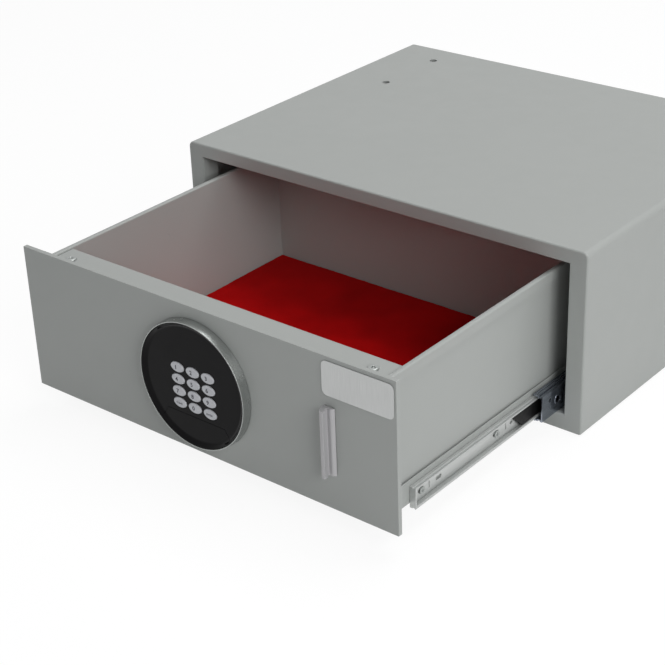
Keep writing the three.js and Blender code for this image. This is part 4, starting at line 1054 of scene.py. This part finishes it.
dress(nodes["drive_pinion"], drawn_steel("pinion_steel", (120, 120, 120)))
dress(nodes["lock_chassis"], zinc_plate("chassis_zinc_plate"))
dress(nodes["lock_board"], circuit_board("lock_board_green", (-0.03, -0.35, 0.1)))
dress(nodes["battery_holder"], moulded_black("holder_black_plastic", 0.5))


def motor_case(name):
    """A moulded grey gearbox with a nickel-plated motor can on its right."""
    finish = Finish(name, roughness=0.35, metallic=0.35)
    split = finish.node("SeparateXYZ")
    finish.link(finish.place, split.inputs[0])
    moulding, nickel, can_start = (0.10, 0.105, 0.11), (0.5, 0.5, 0.49), 19 * mm
    finish.colour(split.outputs["X"], moulding, nickel, can_start, can_start + 0.5 * mm)
    finish.roughness(finish.grain(200, 3), 0.3, 0.45)
    return finish.material


def cell_wrap(name):
    """Shrink-wrapped cells: a dark blue-grey sleeve with faint bands."""
    finish = Finish(name, roughness=0.3, metallic=0.2)
    bands = finish.grain(1, 2, finish.stretched((90, 2, 2)))
    finish.colour(bands, (0.02, 0.03, 0.05), (0.035, 0.05, 0.08), 0.4, 0.6)
    finish.roughness(finish.grain(150, 2), 0.25, 0.4)
    finish.relief(finish.grain(500, 2), 0.05 * mm, strength=0.3)
    return finish.material


dress(nodes["gear_motor"], motor_case("motor_case"))
dress(nodes["battery_pack"], cell_wrap("cell_sleeve"))

# --- Floor, light and backdrop --------------------------------------------------------------------
# A plain pale floor keeps the object's shadow, under a soft overhead light and one on the right.
deselect()
bpy.ops.mesh.primitive_plane_add(size=14, location=(0, 0, -0.5 * mm))
floor = bpy.context.object
floor.name = "studio_floor"
floor_material = bpy.data.materials.new("pale_floor")
floor_material.use_nodes = True
tree = floor_material.node_tree
pale = tree.nodes["Principled BSDF"]
pale.inputs["Base Color"].default_value = (0.88, 0.88, 0.88, 1)
pale.inputs["Roughness"].default_value = 0.9
pale.inputs["Specular IOR Level"].default_value = 0.1
white = add_node(tree, "Emission", Strength=1.06)


def seen_rays(tree):
    """1 for camera, glossy and transmission rays, which see the white backdrop."""
    rays = add_node(tree, "LightPath")
    seen = rays.outputs["Is Camera Ray"]
    for kind in ("Is Glossy Ray", "Is Transmission Ray"):
        either = add_node(tree, "Math")
        either.operation = "MAXIMUM"
        tree.links.new(seen, either.inputs[0])
        tree.links.new(rays.outputs[kind], either.inputs[1])
        seen = either.outputs[0]
    return seen


def mixed_over(tree, share, plain, backdrop, output):
    """Shows the backdrop over the plain shader by a share, on the tree's output."""
    mix = add_node(tree, "MixShader")
    tree.links.new(share, mix.inputs["Fac"])
    tree.links.new(plain.outputs[0], mix.inputs[1])
    tree.links.new(backdrop.outputs[0], mix.inputs[2])
    tree.links.new(mix.outputs[0], tree.nodes[output].inputs["Surface"])


share = add_node(tree, "Math")
share.operation = "MULTIPLY"
share.inputs[1].default_value = 0.85
tree.links.new(seen_rays(tree), share.inputs[0])
mixed_over(tree, share.outputs[0], pale, white, "Material Output")
dress(floor, floor_material)

world = bpy.data.worlds.new("studio")
bpy.context.scene.world = world
world.use_nodes = True
tree = world.node_tree
ambient = tree.nodes["Background"]
ambient.inputs["Color"].default_value = (0.97, 0.985, 1, 1)
ambient.inputs["Strength"].default_value = 0.155
backdrop = add_node(tree, "Background", Strength=1)
mixed_over(tree, seen_rays(tree), ambient, backdrop, "World Output")


def softbox(name, place, aim, size, power):
    """A square area light turned towards a point."""
    bpy.ops.object.light_add(type="AREA", location=place)
    lamp = bpy.context.object
    lamp.name = name
    lamp.data.shape = "SQUARE"
    lamp.data.size = size
    lamp.data.energy = power
    lamp.rotation_euler = (Vector(aim) - Vector(place)).to_track_quat("-Z", "Y").to_euler()


object_middle = (0, -0.15, 0.1)
softbox("overhead_light", (0.2, 0.4, 2.2), object_middle, 1.6, 27)
softbox("right_light", (1.9, -1.0, 1.2), object_middle, 1.2, 23)
bpy.context.scene.view_settings.view_transform = "Standard"
